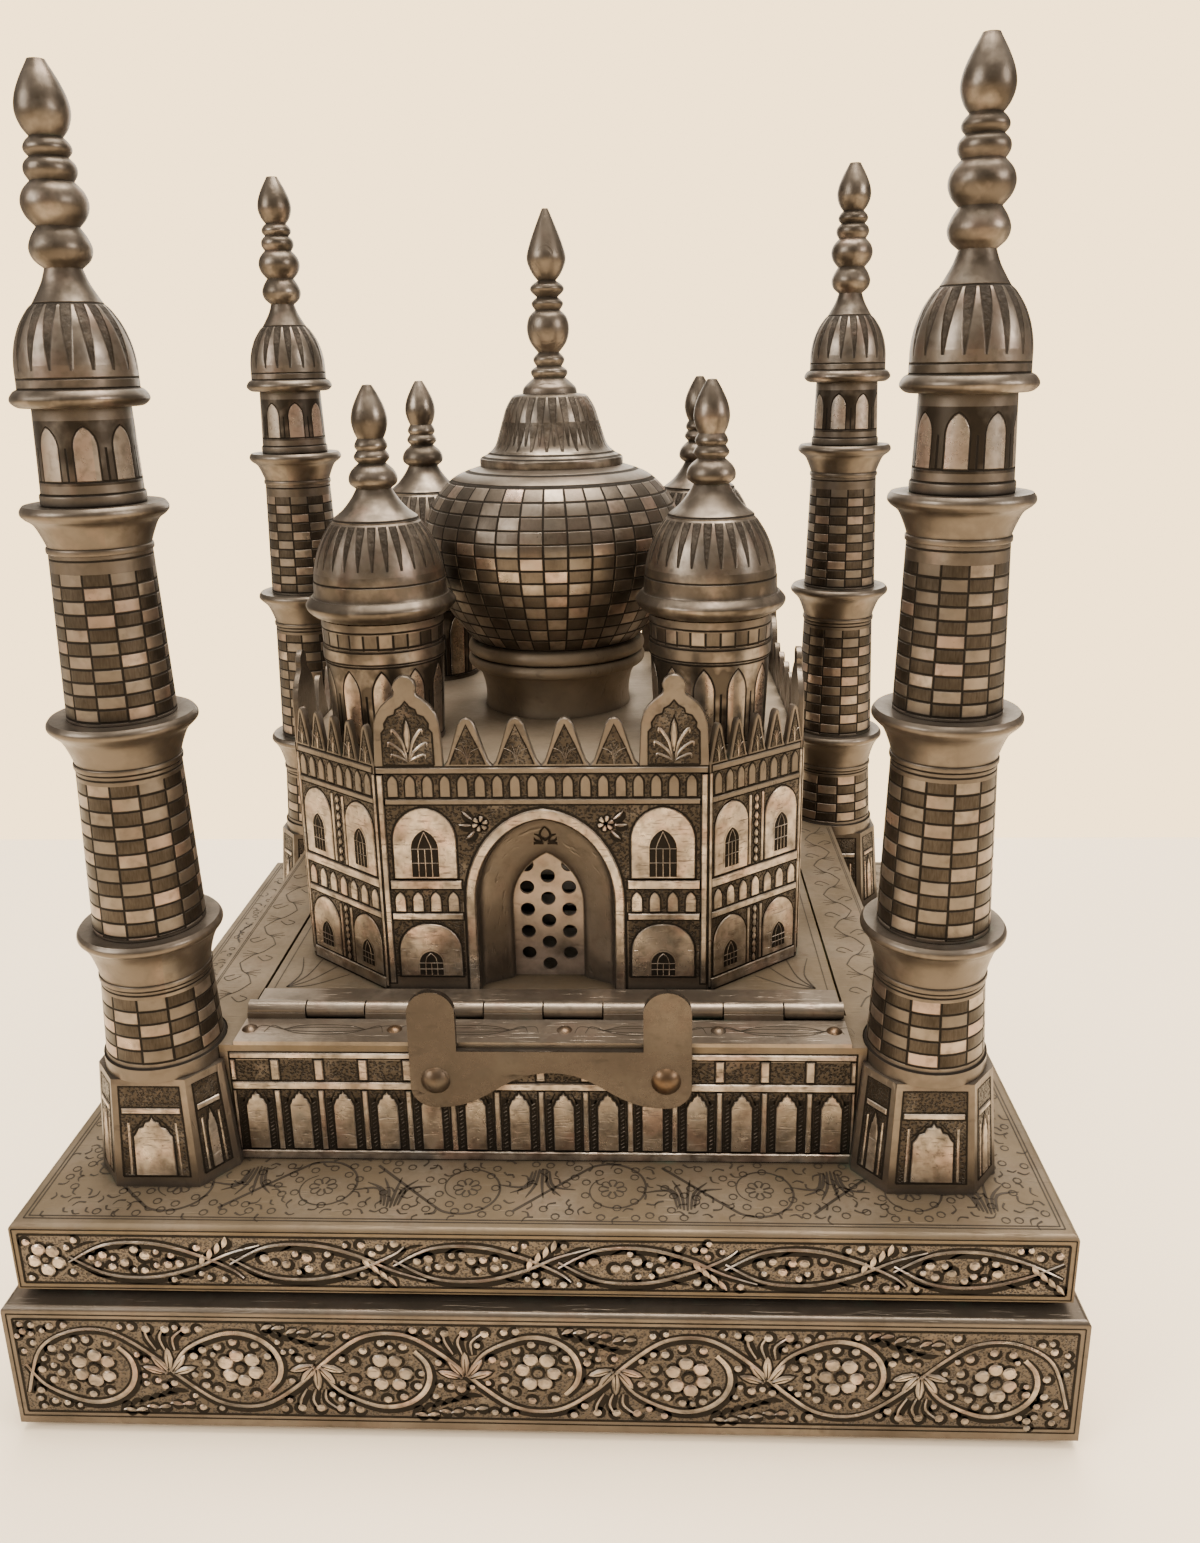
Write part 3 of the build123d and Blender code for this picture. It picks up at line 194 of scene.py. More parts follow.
class Finish:
    """The nodes of one procedural finish, worked out in millimetres of the object's frame."""

    def __init__(self, name: str, back: float = 0.0) -> None:
        """Start an empty finish.

        Args:
            name: The material's name.
            back: How far behind the object's origin the finish has its own, in millimetres.
        """
        self.material = bpy.data.materials.new(name)
        self.material.use_nodes = True
        self.tree = self.material.node_tree
        self.tree.nodes.clear()
        self.shader = self.tree.nodes.new("ShaderNodeBsdfPrincipled")
        output = self.tree.nodes.new("ShaderNodeOutputMaterial")
        self.tree.links.new(self.shader.outputs[0], output.inputs[0])
        place = self.tree.nodes.new("ShaderNodeTexCoord")
        scaled = self.tree.nodes.new("ShaderNodeVectorMath")
        scaled.operation = "SCALE"
        scaled.inputs["Scale"].default_value = 1.0 / MM
        start = place.outputs["Object"]
        if back:
            move = self.tree.nodes.new("ShaderNodeVectorMath")
            move.operation = "SUBTRACT"
            move.inputs[1].default_value = (0.0, back * MM, 0.0)
            self.tree.links.new(start, move.inputs[0])
            start = move.outputs[0]
        self.tree.links.new(start, scaled.inputs[0])
        self.place = scaled.outputs[0]
        split = self.tree.nodes.new("ShaderNodeSeparateXYZ")
        self.tree.links.new(self.place, split.inputs[0])
        self.x = Value(self, split.outputs[0])
        self.y = Value(self, split.outputs[1])
        self.z = Value(self, split.outputs[2])

    def number(self, value: object) -> Value:
        """Return a value as it is, or a plain number as a value."""
        return value if isinstance(value, Value) else Value(self, float(value))

    def plug(self, value: object, socket: bpy.types.NodeSocket) -> None:
        """Link a value to a socket, or set the socket to a plain number."""
        held = value.socket if isinstance(value, Value) else value
        if isinstance(held, bpy.types.NodeSocket):
            self.tree.links.new(held, socket)
        else:
            socket.default_value = held

    def step(self, operation: str, *values: object) -> Value:
        """Run one step of arithmetic.

        Args:
            operation: The Math node's operation.
            values: One to three values or numbers.

        Returns:
            The result.
        """
        node = self.tree.nodes.new("ShaderNodeMath")
        node.operation = operation
        for slot, value in enumerate(values):
            self.plug(value, node.inputs[slot])
        return Value(self, node.outputs[0])

    def turn(self, across: Value, along: Value) -> Value:
        """Return the turn about an upright axis, from 0 to 1 round the circle."""
        return self.step("ARCTAN2", along, across) / math.tau + 0.5

    def cloud(self, size: float, detail: float = 3.0, stretch: Sequence[float] = (1, 1, 1)) -> Value:
        """Return soft noise from about 0 to 1.

        Args:
            size: The size of its blotches in millimetres.
            detail: How many finer layers it has.
            stretch: How many times longer the blotches are along each axis.

        Returns:
            The noise.
        """
        where = self.tree.nodes.new("ShaderNodeVectorMath")
        where.operation = "MULTIPLY"
        where.inputs[1].default_value = [1.0 / length for length in stretch]
        self.tree.links.new(self.place, where.inputs[0])
        noise = self.tree.nodes.new("ShaderNodeTexNoise")
        noise.inputs["Scale"].default_value = 1.0 / size
        noise.inputs["Detail"].default_value = detail
        self.tree.links.new(where.outputs[0], noise.inputs["Vector"])
        return Value(self, noise.outputs[0])

    def cells(self, size: float) -> Value:
        """Return the distance to the nearest punch mark of a stippled ground, in cell sizes."""
        node = self.tree.nodes.new("ShaderNodeTexVoronoi")
        node.inputs["Scale"].default_value = 1.0 / size
        self.tree.links.new(self.place, node.inputs["Vector"])
        return Value(self, node.outputs["Distance"])

    def chance(self, first: object, second: object, third: object = 0.0) -> Value:
        """Return a random number for each set of three numbers."""
        joined = self.tree.nodes.new("ShaderNodeCombineXYZ")
        for slot, value in enumerate((first, second, third)):
            self.plug(value, joined.inputs[slot])
        noise = self.tree.nodes.new("ShaderNodeTexWhiteNoise")
        self.tree.links.new(joined.outputs[0], noise.inputs["Vector"])
        return Value(self, noise.outputs["Value"])

    def crevice(self, reach: float) -> Value:
        """Return 0 in the open and up to 1 in occluded corners, which get patina and a darkening that is
        partly dirt and partly painted shade.
        """
        node = self.tree.nodes.new("ShaderNodeAmbientOcclusion")
        node.samples = 4
        node.inputs["Distance"].default_value = reach * MM
        return Value(self, node.outputs["AO"]).inverse()

    def blend(self, first: object, second: object, share: object) -> Value:
        """Mix two colours.

        Args:
            first: The colour where the share is 0.
            second: The colour where the share is 1.
            share: A value or number from 0 to 1.

        Returns:
            The mixed colour.
        """
        node = self.tree.nodes.new("ShaderNodeMix")
        node.data_type = "RGBA"
        self.plug(share, node.inputs[0])
        for value, socket in ((first, node.inputs[6]), (second, node.inputs[7])):
            self.plug((*value, 1.0) if isinstance(value, tuple) else value, socket)
        return Value(self, node.outputs[2])

    def surface(self, colour: object, metal: object, rough: object, height: object) -> None:
        """Plug the finish's colour, metal share, roughness and relief into its shader.

        Args:
            colour: The surface colour.
            metal: The share of bare metal.
            rough: The roughness.
            height: The relief in millimetres.
        """
        held = (*colour, 1.0) if isinstance(colour, tuple) else colour
        self.plug(held, self.shader.inputs["Base Color"])
        self.plug(metal, self.shader.inputs["Metallic"])
        self.plug(rough, self.shader.inputs["Roughness"])
        self.shader.inputs["Specular IOR Level"].default_value = 0.12
        bump = self.tree.nodes.new("ShaderNodeBump")
        bump.inputs["Strength"].default_value = 1.0
        bump.inputs["Distance"].default_value = MM
        self.plug(height, bump.inputs["Height"])
        self.tree.links.new(bump.outputs[0], self.shader.inputs["Normal"])


@dataclass(frozen=True)
class Plating:
    """Tarnished plate: a worn tone, a stained tone, and corners darkened partly by dirt and partly by
    painted shade.
    """

    worn: Colour = (0.118, 0.098, 0.079)
    stained: Colour = (0.071, 0.058, 0.045)
    # Near-black used for engraved lines, dark grounds, dirt and the painted shade in corners.
    dirt_and_shade: Colour = (0.008, 0.006, 0.004)
    bright: Colour = (0.54, 0.455, 0.37)
    rosy: Colour = (0.48, 0.33, 0.26)
    cool: Colour = (0.31, 0.305, 0.29)
    verdigris: Colour = (0.05, 0.11, 0.08)
    metal: float = 0.9
    rough: float = 0.34
    blotch: float = 7.0
    # How dark the occluded corners get: partly dirt, partly painted shade.
    grime_and_shade: float = 0.9
    reach: float = 2.4

    def dress(
        self,
        finish: Finish,
        bright: object = 0.0,
        line: object = 0.0,
        height: object = 0.0,
        shade: object = 1.0,
        tint: object = None,
    ) -> bpy.types.Material:
        """Finish a surface from its bright and engraved areas.

        Args:
            finish: The finish to complete.
            bright: Where the plate is polished, from 0 to 1.
            line: Where an engraved line is, from 0 to 1.
            height: The relief in millimetres.
            shade: How light the unpolished plate is, 1 being the plate itself.
            tint: What picks the hue of the polished plate, from 0 to 1.

        Returns:
            The finished material.
        """
        stain = ((finish.cloud(self.blotch, 4.0) - 0.40) * 3.5).clamped()
        fine = finish.cloud(0.9, 3.0)
        speck = (finish.cloud(1.7, 5.0) - 0.5) * 3.0
        plate = finish.blend(self.worn, self.stained, stain)
        plate = finish.blend(plate, self.dirt_and_shade, (finish.number(1.0) - shade).clamped())
        hue = finish.cloud(6.0, 2.0) if tint is None else finish.number(tint)
        gleam = finish.blend(self.bright, self.rosy, ((hue - 0.50) * 6.0).clamped() * 0.8)
        gleam = finish.blend(gleam, self.cool, ((finish.number(0.44) - hue) * 6.0).clamped() * 0.7)
        worn_bright = finish.number(bright) * (speck * 0.8 + 0.95).clamped()
        colour = finish.blend(plate, gleam, worn_bright)
        # Occluded corners get green patina and a darkening that is partly dirt and partly painted shade.
        corner = finish.crevice(self.reach)
        bloom = ((corner - 0.42) * 5.0).clamped() * ((finish.cloud(9.0, 4.0) - 0.56) * 8.0).clamped()
        dirt_and_shade = ((corner - 0.12) * 1.7).clamped() * self.grime_and_shade * (bloom * -0.8 + 1.0)
        colour = finish.blend(colour, self.verdigris, bloom * 0.8)
        dark_share = dirt_and_shade.most(finish.number(line) * 0.97)
        colour = finish.blend(colour, self.dirt_and_shade, dark_share)
        rough = fine * 0.18 + self.rough - 0.08 - worn_bright * 0.12 + dark_share * 0.35
        metal = finish.number(self.metal) - dark_share * 0.7
        relief = finish.number(height) - finish.number(line) * 0.16 + fine * 0.015
        finish.surface(colour, metal, rough + stain * 0.08, relief + speck * 0.008)
        return finish.material


PLATING = Plating()


@dataclass(frozen=True)
class PlainPlate:
    """Plain tarnished plate with fine scratches."""

    name: str
    plating: Plating = PLATING
    shine: float = 0.25
    scratch: float = 1.0

    def make(self) -> bpy.types.Material:
        """Build the material."""
        finish = Finish(self.name)
        scratches = finish.cloud(0.5, 2.0, (14.0, 1.0, 5.0))
        marks = ((scratches - 0.62) * 9.0).clamped() * self.scratch
        worn = ((finish.cloud(14.0, 4.0) - 0.42) * 2.6).clamped() * self.shine
        return self.plating.dress(finish, worn, marks * 0.2, marks * -0.02)


@dataclass(frozen=True)
class ReliefGround:
    """The dark stippled ground between raised ornament."""

    name: str = "stippled_ground"
    punch: float = 0.5
    shade: float = 0.33

    def make(self) -> bpy.types.Material:
        """Build the material."""
        finish = Finish(self.name)
        mark = finish.cells(self.punch).within(0.40, 0.25)
        worn = ((finish.cloud(7.0, 3.0) - 0.5) * 4.0).clamped() * 0.2
        return PLATING.dress(finish, worn, mark * 0.5, mark * -0.08, self.shade)


@dataclass(frozen=True)
class Polished:
    """Raised plate that handling keeps bright."""

    name: str = "polished_relief"
    level: float = 0.85

    def make(self) -> bpy.types.Material:
        """Build the material."""
        finish = Finish(self.name)
        hatch = finish.cloud(0.4, 2.0, (9.0, 9.0, 1.0))
        pit = ((finish.cloud(0.8, 3.0) - 0.62) * 8.0).clamped() * 0.5
        tarnish = ((finish.cloud(5.0, 4.0) - 0.32) * 2.6).clamped() * 0.75 + 0.25
        scratch = ((hatch - 0.6) * 5.0).clamped().most(pit) * 0.5
        return PLATING.dress(finish, tarnish * self.level, scratch, 0.0, tarnish * 0.4 + 0.6)


@dataclass(frozen=True)
class EngravedLine:
    """The dark bottom of an engraved line."""

    name: str = "engraved_line"
    depth: float = 1.0
    shade: float = 0.28

    def make(self) -> bpy.types.Material:
        """Build the material."""
        finish = Finish(self.name)
        line = (finish.cloud(1.5, 3.0) * 0.3 + 0.75) * self.depth
        return PLATING.dress(finish, 0.0, line, 0.0, self.shade)


@dataclass(frozen=True)
class Chequer:
    """Plate engraved in bright and hatched tiles round an upright axis.

    Each zone is its bottom height, its top height and its number of rows. Each line is a
    height with an engraved ring.
    """

    name: str
    axis: Point
    columns: int
    radius: float
    zones: tuple[tuple[float, float, int], ...]
    lines: tuple[float, ...] = ()
    mirrored: bool = False
    arcade: tuple[float, float, float, int] | None = None
    shine: float = 0.2
    contrast: float = 1.0
    arcade_shade: float = 0.75
    glow: float = 1.0
    back: float = 0.0

    def make(self) -> bpy.types.Material:
        """Build the material."""
        finish = Finish(self.name, self.back)
        across = (abs(finish.x) if self.mirrored else finish.x) - self.axis[0]
        along = (abs(finish.y) if self.mirrored else finish.y) - self.axis[1]
        turn = finish.turn(across, along)
        which = finish.x.above(0.0) + finish.y.above(0.0) * 2.0
        column = turn * self.columns
        rows = finish.number(0.0)
        tall = finish.number(1.0)
        inside = finish.number(0.0)
        for low, high, count in self.zones:
            here = finish.z.above(low) * finish.z.below(high)
            rows = rows + here * ((finish.z - low) / ((high - low) / count) + low)
            tall = tall + here * ((high - low) / count - 1.0)
            inside = inside + here
        parity = ((column.floor() + rows.floor()) / 2.0).part().above(0.25)
        pick = finish.chance(column.floor(), rows.floor(), which)
        width = math.tau * self.radius / self.columns
        side = column.part()
        rise = rows.part()
        gap_x = side.least(side.inverse()) * width
        gap_y = rise.least(rise.inverse()) * tall
        line = gap_x.least(gap_y).within(0.2, 0.12) * inside
        hatch = finish.cloud(0.32, 2.0, (1.0, 1.0, 5.0))
        shade = (hatch - 0.5) * 1.8 + 0.55
        patch = ((finish.cloud(11.0, 3.0) - 0.4) * 4.0).clamped() * 0.6 + 0.4
        bright = (parity * self.contrast + (1.0 - self.contrast) * 0.3) * inside * (pick * 0.72 + 0.1)
        bright = bright * patch * self.glow
        plain = inside.inverse()
        wear = ((finish.cloud(7.0, 3.0) - 0.48) * 5.0).clamped() * plain * self.shine
        for height in self.lines:
            line = line.most(abs(finish.z - height).within(0.17, 0.12))
        behind = finish.number(0.0)
        if self.arcade:
            base, spring, apex, bays = self.arcade
            bay = math.tau * self.radius / bays
            u = ((turn * bays).part() - 0.5) * bay
            inside_arch, edge = pointed_arch(finish, u, base, bay * 0.31, spring, apex)
            line = line.most(edge)
            post = abs(abs(u) - bay * 0.5).within(0.2, 0.12)
            line = line.most(post * finish.z.above(base) * finish.z.below(spring))
            wear = wear.most(inside_arch * (pick * 0.3 + 0.45))
            shaded = finish.z.above(base - 0.6) * finish.z.below(apex + 0.9)
            behind = shaded * inside_arch.inverse() * self.arcade_shade
        tone = (parity.inverse() * inside).inverse().most(shade.clamped() * 0.4) * 0.75 + 0.25
        tone = tone * self.contrast + (1.0 - self.contrast) * 0.9
        shadow = (plain.inverse() * tone + plain) * behind.inverse()
        tint = pick * 0.35 + finish.cloud(6.0, 2.0) * 0.65
        return PLATING.dress(finish, bright.most(wear), line, bright * 0.03, shadow, tint)


def pointed_arch(
    finish: Finish, across: Value, base: float, half: float, spring: float, apex: float
) -> tuple[Value, Value]:
    """Draw a pointed arch on an upright surface.

    Args:
        finish: The finish to draw in.
        across: The distance from the arch's middle in millimetres.
        base: The height of the sill.
        half: Half the width.
        spring: The height where the sides start to bend.
        apex: The height of the point.

    Returns:
        Masks of the inside and of the outline.
    """
    rise = apex - spring
    shift = (rise * rise - half * half) / (2.0 * half)
    up = (finish.z - spring).most(0.0)
    reach = abs(across) + shift
    edge = (reach * reach + up * up).root() - (half + shift)
    inside = edge.below(0.0) * finish.z.above(base)
    outline = abs(edge).within(0.17, 0.12) * finish.z.above(base - 0.2)
    sill = abs(finish.z - base).within(0.17, 0.12) * edge.below(0.0)
    return inside, outline.most(sill)


@dataclass(frozen=True)
class Flutes:
    """Wedge-shaped cuts that run down a bell or dome from its upper ridge.

    The heights are those of the cuts' lower points, of the ridge and of engraved rings.
    """

    name: str
    axis: Point
    cuts: int
    low: float
    high: float
    radius: float
    lines: tuple[float, ...] = ()
    mirrored: bool = True
    shine: float = 0.25
    shift: float = 0.0
    second: bool = False
    shade: float = 0.85
    depth: float = 0.9

    def make(self) -> bpy.types.Material:
        """Build the material."""
        finish = Finish(self.name)
        across = (abs(finish.x) if self.mirrored else finish.x) - self.axis[0]
        along = (abs(finish.y - self.shift) if self.mirrored else finish.y) - self.axis[1]
        turn = finish.turn(across, along)
        line = finish.number(0.0)
        groove = self._wedges(finish, turn, 0.0, self.low, self.high)
        if self.second:
            middle = (self.low + self.high) / 2.0
            groove = groove.most(self._wedges(finish, turn, 0.5, self.low - 1.0, middle))
        for height in self.lines:
            line = line.most(abs(finish.z - height).within(0.17, 0.12))
        wear = ((finish.cloud(5.0, 3.0) - 0.46) * 5.0).clamped() * self.shine
        zone = finish.z.above(self.low - 1.0) * finish.z.below(self.high)
        ray = zone * groove.inverse() * 0.2
        return PLATING.dress(
            finish, wear.most(ray), line.most(groove * self.depth), groove * -0.6, zone * -0.2 + self.shade
        )

    def _wedges(self, finish: Finish, turn: Value, shift: float, low: float, high: float) -> Value:
        """Return the mask of one row of wedges, wide above and pointed below."""
        side = abs((turn * self.cuts + shift).part() - 0.5)
        share = (finish.z - low) / (high - low)
        wide = share.clamped() * 0.34 + 0.03
        inside = side.within(wide, 0.1)
        ragged = (finish.cloud(0.8, 3.0) - 0.5) * 0.5 + 0.85
        return inside * share.above(0.02) * share.below(1.0) * ragged.clamped()


@dataclass(frozen=True)
class Brass:
    """Brass of the movement, lightly brushed."""

    name: str
    tone: Colour = (0.72, 0.53, 0.24)
    rough: float = 0.3

    def make(self) -> bpy.types.Material:
        """Build the material."""
        finish = Finish(self.name)
        stain = ((finish.cloud(8.0, 4.0) - 0.42) * 3.0).clamped()
        brush = finish.cloud(0.3, 2.0, (12.0, 1.0, 1.0))
        colour = finish.blend(self.tone, tuple(part * 0.55 for part in self.tone), stain)
        # Occluded corners darken towards dark brown: partly dirt, partly painted shade.
        dirt_and_shade = finish.crevice(2.0).clamped() * 0.6
        colour = finish.blend(colour, (0.07, 0.05, 0.03), dirt_and_shade)
        finish.surface(colour, 1.0, brush * 0.2 + self.rough - 0.05, brush * 0.01)
        return finish.material


@dataclass(frozen=True)
class Steel:
    """Plain steel with a grey sheen and specks of rust."""

    name: str

    def make(self) -> bpy.types.Material:
        """Build the material."""
        finish = Finish(self.name)
        brush = finish.cloud(0.4, 3.0, (1.0, 10.0, 1.0))
        rust = ((finish.cloud(1.8, 5.0) - 0.62) * 8.0).clamped()
        colour = finish.blend((0.50, 0.49, 0.48), (0.20, 0.10, 0.05), rust * 0.7)
        finish.surface(colour, rust * -0.6 + 1.0, brush * 0.2 + rust * 0.3 + 0.22, brush * 0.01)
        return finish.material


@dataclass(frozen=True)
class BoardWood:
    """Stained softwood with grain along the board."""

    name: str

    def make(self) -> bpy.types.Material:
        """Build the material."""
        finish = Finish(self.name)
        grain = finish.cloud(2.4, 5.0, (26.0, 1.0, 1.0))
        pore = finish.cloud(0.5, 2.0, (30.0, 1.0, 1.0))
        colour = finish.blend((0.23, 0.125, 0.06), (0.10, 0.05, 0.025), (grain * 2.4 - 0.7).clamped())
        colour = finish.blend(colour, (0.05, 0.028, 0.016), ((pore - 0.58) * 6.0).clamped() * 0.6)
        finish.surface(colour, 0.0, grain * 0.2 + 0.5, pore * -0.05)
        return finish.material


@dataclass(frozen=True)
class Felt:
    """Green felt with loose fibres."""

    name: str

    def make(self) -> bpy.types.Material:
        """Build the material."""
        finish = Finish(self.name)
        fibre = finish.cloud(0.35, 4.0, (3.0, 1.0, 1.0))
        colour = finish.blend((0.035, 0.07, 0.035), (0.075, 0.12, 0.06), fibre)
        finish.surface(colour, 0.0, 0.95, fibre * 0.25)
        return finish.material


# Mesh building


def lerp(first: Vector, second: Vector, share: float) -> Vector:
    """Return the point a share of the way from the first point to the second."""
    return first + (second - first) * share


def polar(x: float, y: float, radius: float, turn: float) -> Point:
    """Return the point a radius away from (x, y) in the direction of a turn."""
    return x + radius * math.cos(turn), y + radius * math.sin(turn)


def mirrored(right: Sequence[Point], tip: Point) -> list[Point]:
    """Return the right half of an outline, its tip and the mirror image of the half."""
    return [*right, tip, *((-x, y) for x, y in reversed(right))]


def moved(points: Sequence[Point], x: float, y: float = 0.0) -> list[Point]:
    """Return points moved sideways and up."""
    return [(x + across, y + up) for across, up in points]


def box_outline(left: float, right: float, low: float, high: float) -> list[Point]:
    """Return a rectangle's corners, counter-clockwise from its lower left."""
    return [(left, low), (right, low), (right, high), (left, high)]


def smooth(points: Sequence[Point], steps: int = 6) -> list[Point]:
    """Run a smooth curve through points.

    Args:
        points: The points to pass through.
        steps: How many points each stretch gets.

    Returns:
        The curve's points.
    """
    last = len(points) - 1
    curve: list[Point] = []
    for index in range(last):
        a, b, c, d = (points[min(max(index + step, 0), last)] for step in (-1, 0, 1, 2))
        for step in range(steps):
            t = step / steps
            curve.append(tuple(
                0.5 * (
                    2 * b[axis]
                    + (c[axis] - a[axis]) * t
                    + (2 * a[axis] - 5 * b[axis] + 4 * c[axis] - d[axis]) * t * t
                    + (3 * b[axis] - a[axis] - 3 * c[axis] + d[axis]) * t ** 3
                )
                for axis in range(2)
            ))
    return [*curve, tuple(points[-1])]


def unit(start: Point, end: Point) -> Point:
    """Return the direction from one point to another."""
    x, y = end[0] - start[0], end[1] - start[1]
    size = math.hypot(x, y) or 1.0
    return x / size, y / size


def inset(points: Sequence[Point], distance: float) -> list[Point]:
    """Move the corners of a counter-clockwise outline inwards.

    Args:
        points: The outline.
        distance: How far, in millimetres.

    Returns:
        The smaller outline.
    """
    shrunk = []
    for index, here in enumerate(points):
        first = unit(points[index - 1], here)
        second = unit(here, points[(index + 1) % len(points)])
        x, y = -(first[1] + second[1]), first[0] + second[0]
        size = math.hypot(x, y) or 1.0
        sharp = max(0.35, (x * -second[1] + y * second[0]) / size)
        shrunk.append((here[0] + distance * x / size / sharp, here[1] + distance * y / size / sharp))
    return shrunk


def arch_outline(
    middle: float, base: float, half: float, spring: float, apex: float, steps: int = 6,
    fullness: float = 0.0,
) -> list[Point]:
    """Return the outline of a pointed arch, counter-clockwise from its lower left.

    Args:
        middle: The arch's middle.
        base: The sill.
        half: Half the width.
        spring: Where the sides start to bend.
        apex: The point's height.
        steps: Points on each bend.
        fullness: How far the bends swell towards an ellipse, from 0 to 1.

    Returns:
        The outline.
    """
    rise = apex - spring
    shift = (rise * rise - half * half) / (2.0 * half)
    right = []
    for step in range(steps + 1):
        x, y = polar(-shift, 0.0, half + shift, math.atan2(rise, shift) * step / steps)
        quarter = math.pi / 2 * step / steps
        x += (half * math.cos(quarter) - x) * fullness
        y += (rise * math.sin(quarter) - y) * fullness
        right.append((x, spring + y))
    return moved([(-half, base), (half, base), *mirrored(right[:-1], right[-1])], middle)


def cusped_outline(middle: float, base: float, half: float, spring: float, apex: float) -> list[Point]:
    """Return the outline of an arch with small cusps, counter-clockwise from its lower left.

    Args:
        middle: The arch's middle.
        base: The sill.
        half: Half the width.
        spring: Where the sides start to bend.
        apex: The point's height.

    Returns:
        The outline.
    """
    shares = ((1.0, 0.0), (0.86, 0.16), (0.72, 0.42), (0.46, 0.50), (0.34, 0.74), (0.12, 0.80))
    right = [(half * across, spring + (apex - spring) * up) for across, up in shares]
    return moved([(-half, base), (half, base), *mirrored(right, (0.0, apex))], middle)


def woven(rows: int, columns: int, ring: bool = False, flip: bool = False) -> list[tuple[int, ...]]:
    """Return the faces between rows of points.

    Args:
        rows: How many rows there are.
        columns: How many points each row has.
        ring: Whether a row closes on itself.
        flip: Whether the faces look the other way.

    Returns:
        The faces' corners, counted along the rows.
    """
    faces = []
    for row in range(rows - 1):
        for column in range(columns if ring else columns - 1):
            here, beside = row * columns + column, row * columns + (column + 1) % columns
            above, beyond = here + columns, beside + columns
            faces.append((here, beside, beyond, above) if flip else (here, above, beyond, beside))
    return faces


def chained(base: float, start: Point, *bends: Sequence[Point]) -> list[list[Point]]:
    """Return the runs of a turned outline, each starting where the one before ends.

    Args:
        base: The height that the others are measured from.
        start: The first point's radius and height.
        bends: The further points of each run.

    Returns:
        The runs.
    """
    last = (start[0], base + start[1])
    runs = []
    for bend in bends:
        runs.append([last] + [(radius, base + height) for radius, height in bend])
        last = runs[-1][-1]
    return runs


class Piece:
    """Collects the faces of one piece in millimetres."""

    def __init__(self) -> None:
        """Start with no faces."""
        self.points: list[Vector] = []
        self.faces: list[tuple[int, ...]] = []
        self.marks: list[int] = []

    def add(self, points: Iterable[Vector], faces: Iterable[Sequence[int]], mark: int) -> None:
        """Add points and faces.

        Args:
            points: The points.
            faces: The faces' corners, counted from the first added point.
            mark: The number of the faces' material.
        """
        start = len(self.points)
        self.points.extend(points)
        for face in faces:
            self.faces.append(tuple(start + corner for corner in face))
            self.marks.append(mark)

    def join(self, other: "Piece") -> None:
        """Add all the faces of another piece."""
        self.add(other.points, other.faces, 0)
        self.marks[-len(other.marks):] = other.marks

    def build(
        self, name: str, body: str, materials: Sequence[bpy.types.Material],
        slot: str = "engraved_plate", stands_for: Sequence[str] = (),
    ) -> None:
        """Make the Blender object.

        Args:
            name: The piece's name.
            body: The body it moves with.
            materials: One material for each mark.
            slot: Not used.
            stands_for: The CAD nodes that it replaces.
        """
        mesh = bpy.data.meshes.new(name)
        mesh.from_pydata([point * MM for point in self.points], [], self.faces)
        for material in materials:
            mesh.materials.append(material)
        mesh.polygons.foreach_set("material_index", self.marks)
        mesh.polygons.foreach_set("use_smooth", [True] * len(self.faces))
        mesh.update()
        mesh.set_sharp_from_angle(angle=math.radians(SHARP_EDGE))
        piece = bpy.data.objects.new(name, mesh)
        bpy.context.scene.collection.objects.link(piece)
        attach(piece, body)
        if stands_for:
            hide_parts(*stands_for)
        LOG.info("%s: %d faces on %s", name, len(self.faces), body)


@dataclass(frozen=True)
class Panel:
    """A flat four-cornered face that ornament is laid on, measured from its lower middle."""

    low_left: Vector
    low_right: Vector
    high_left: Vector
    high_right: Vector

    @classmethod
    def between(cls, near: Sequence[Point], far: Sequence[Point], low: float, high: float) -> "Panel":
        """Return a panel from a near edge to a far edge.

        Args:
            near: The near edge's two ends in plan.
            far: The far edge's two ends in plan.
            low: The near edge's height.
            high: The far edge's height.

        Returns:
            The panel.
        """
        return cls(*(Vector((*end, low)) for end in near), *(Vector((*end, high)) for end in far))

    @property
    def width(self) -> float:
        """Return the width along the lower edge."""
        return (self.low_right - self.low_left).length

    @property
    def height(self) -> float:
        """Return the height along the middle."""
        low = lerp(self.low_left, self.low_right, 0.5)
        return (lerp(self.high_left, self.high_right, 0.5) - low).length

    def at(self, across: float, up: float, out: float) -> Vector:
        """Return a point of the panel.

        Args:
            across: Millimetres to the right of the middle.
            up: Millimetres above the lower edge.
            out: Millimetres in front of the face.

        Returns:
            The point in the object's frame.
        """
        share = across / self.width + 0.5
        low = lerp(self.low_left, self.low_right, share)
        high = lerp(self.high_left, self.high_right, share)
        right = (self.low_right - self.low_left).normalized()
        rise = (self.high_left - self.low_left).normalized()
        return lerp(low, high, up / self.height) + right.cross(rise).normalized() * out


@dataclass(frozen=True)
class Soffit(Panel):
    """A panel whose ornament lies on the hollow of a porch above the door."""

    apex: float = 37.6
    drop: float = 10.0

    def at(self, across: float, up: float, out: float) -> Vector:
        """Return a point of the hollow, as Panel.at does for a flat face."""
        share = (self.apex - up) / self.drop + (across / self.drop) ** 2 * 0.25
        return super().at(across, up, out - 2.85 - 2.9 * share)


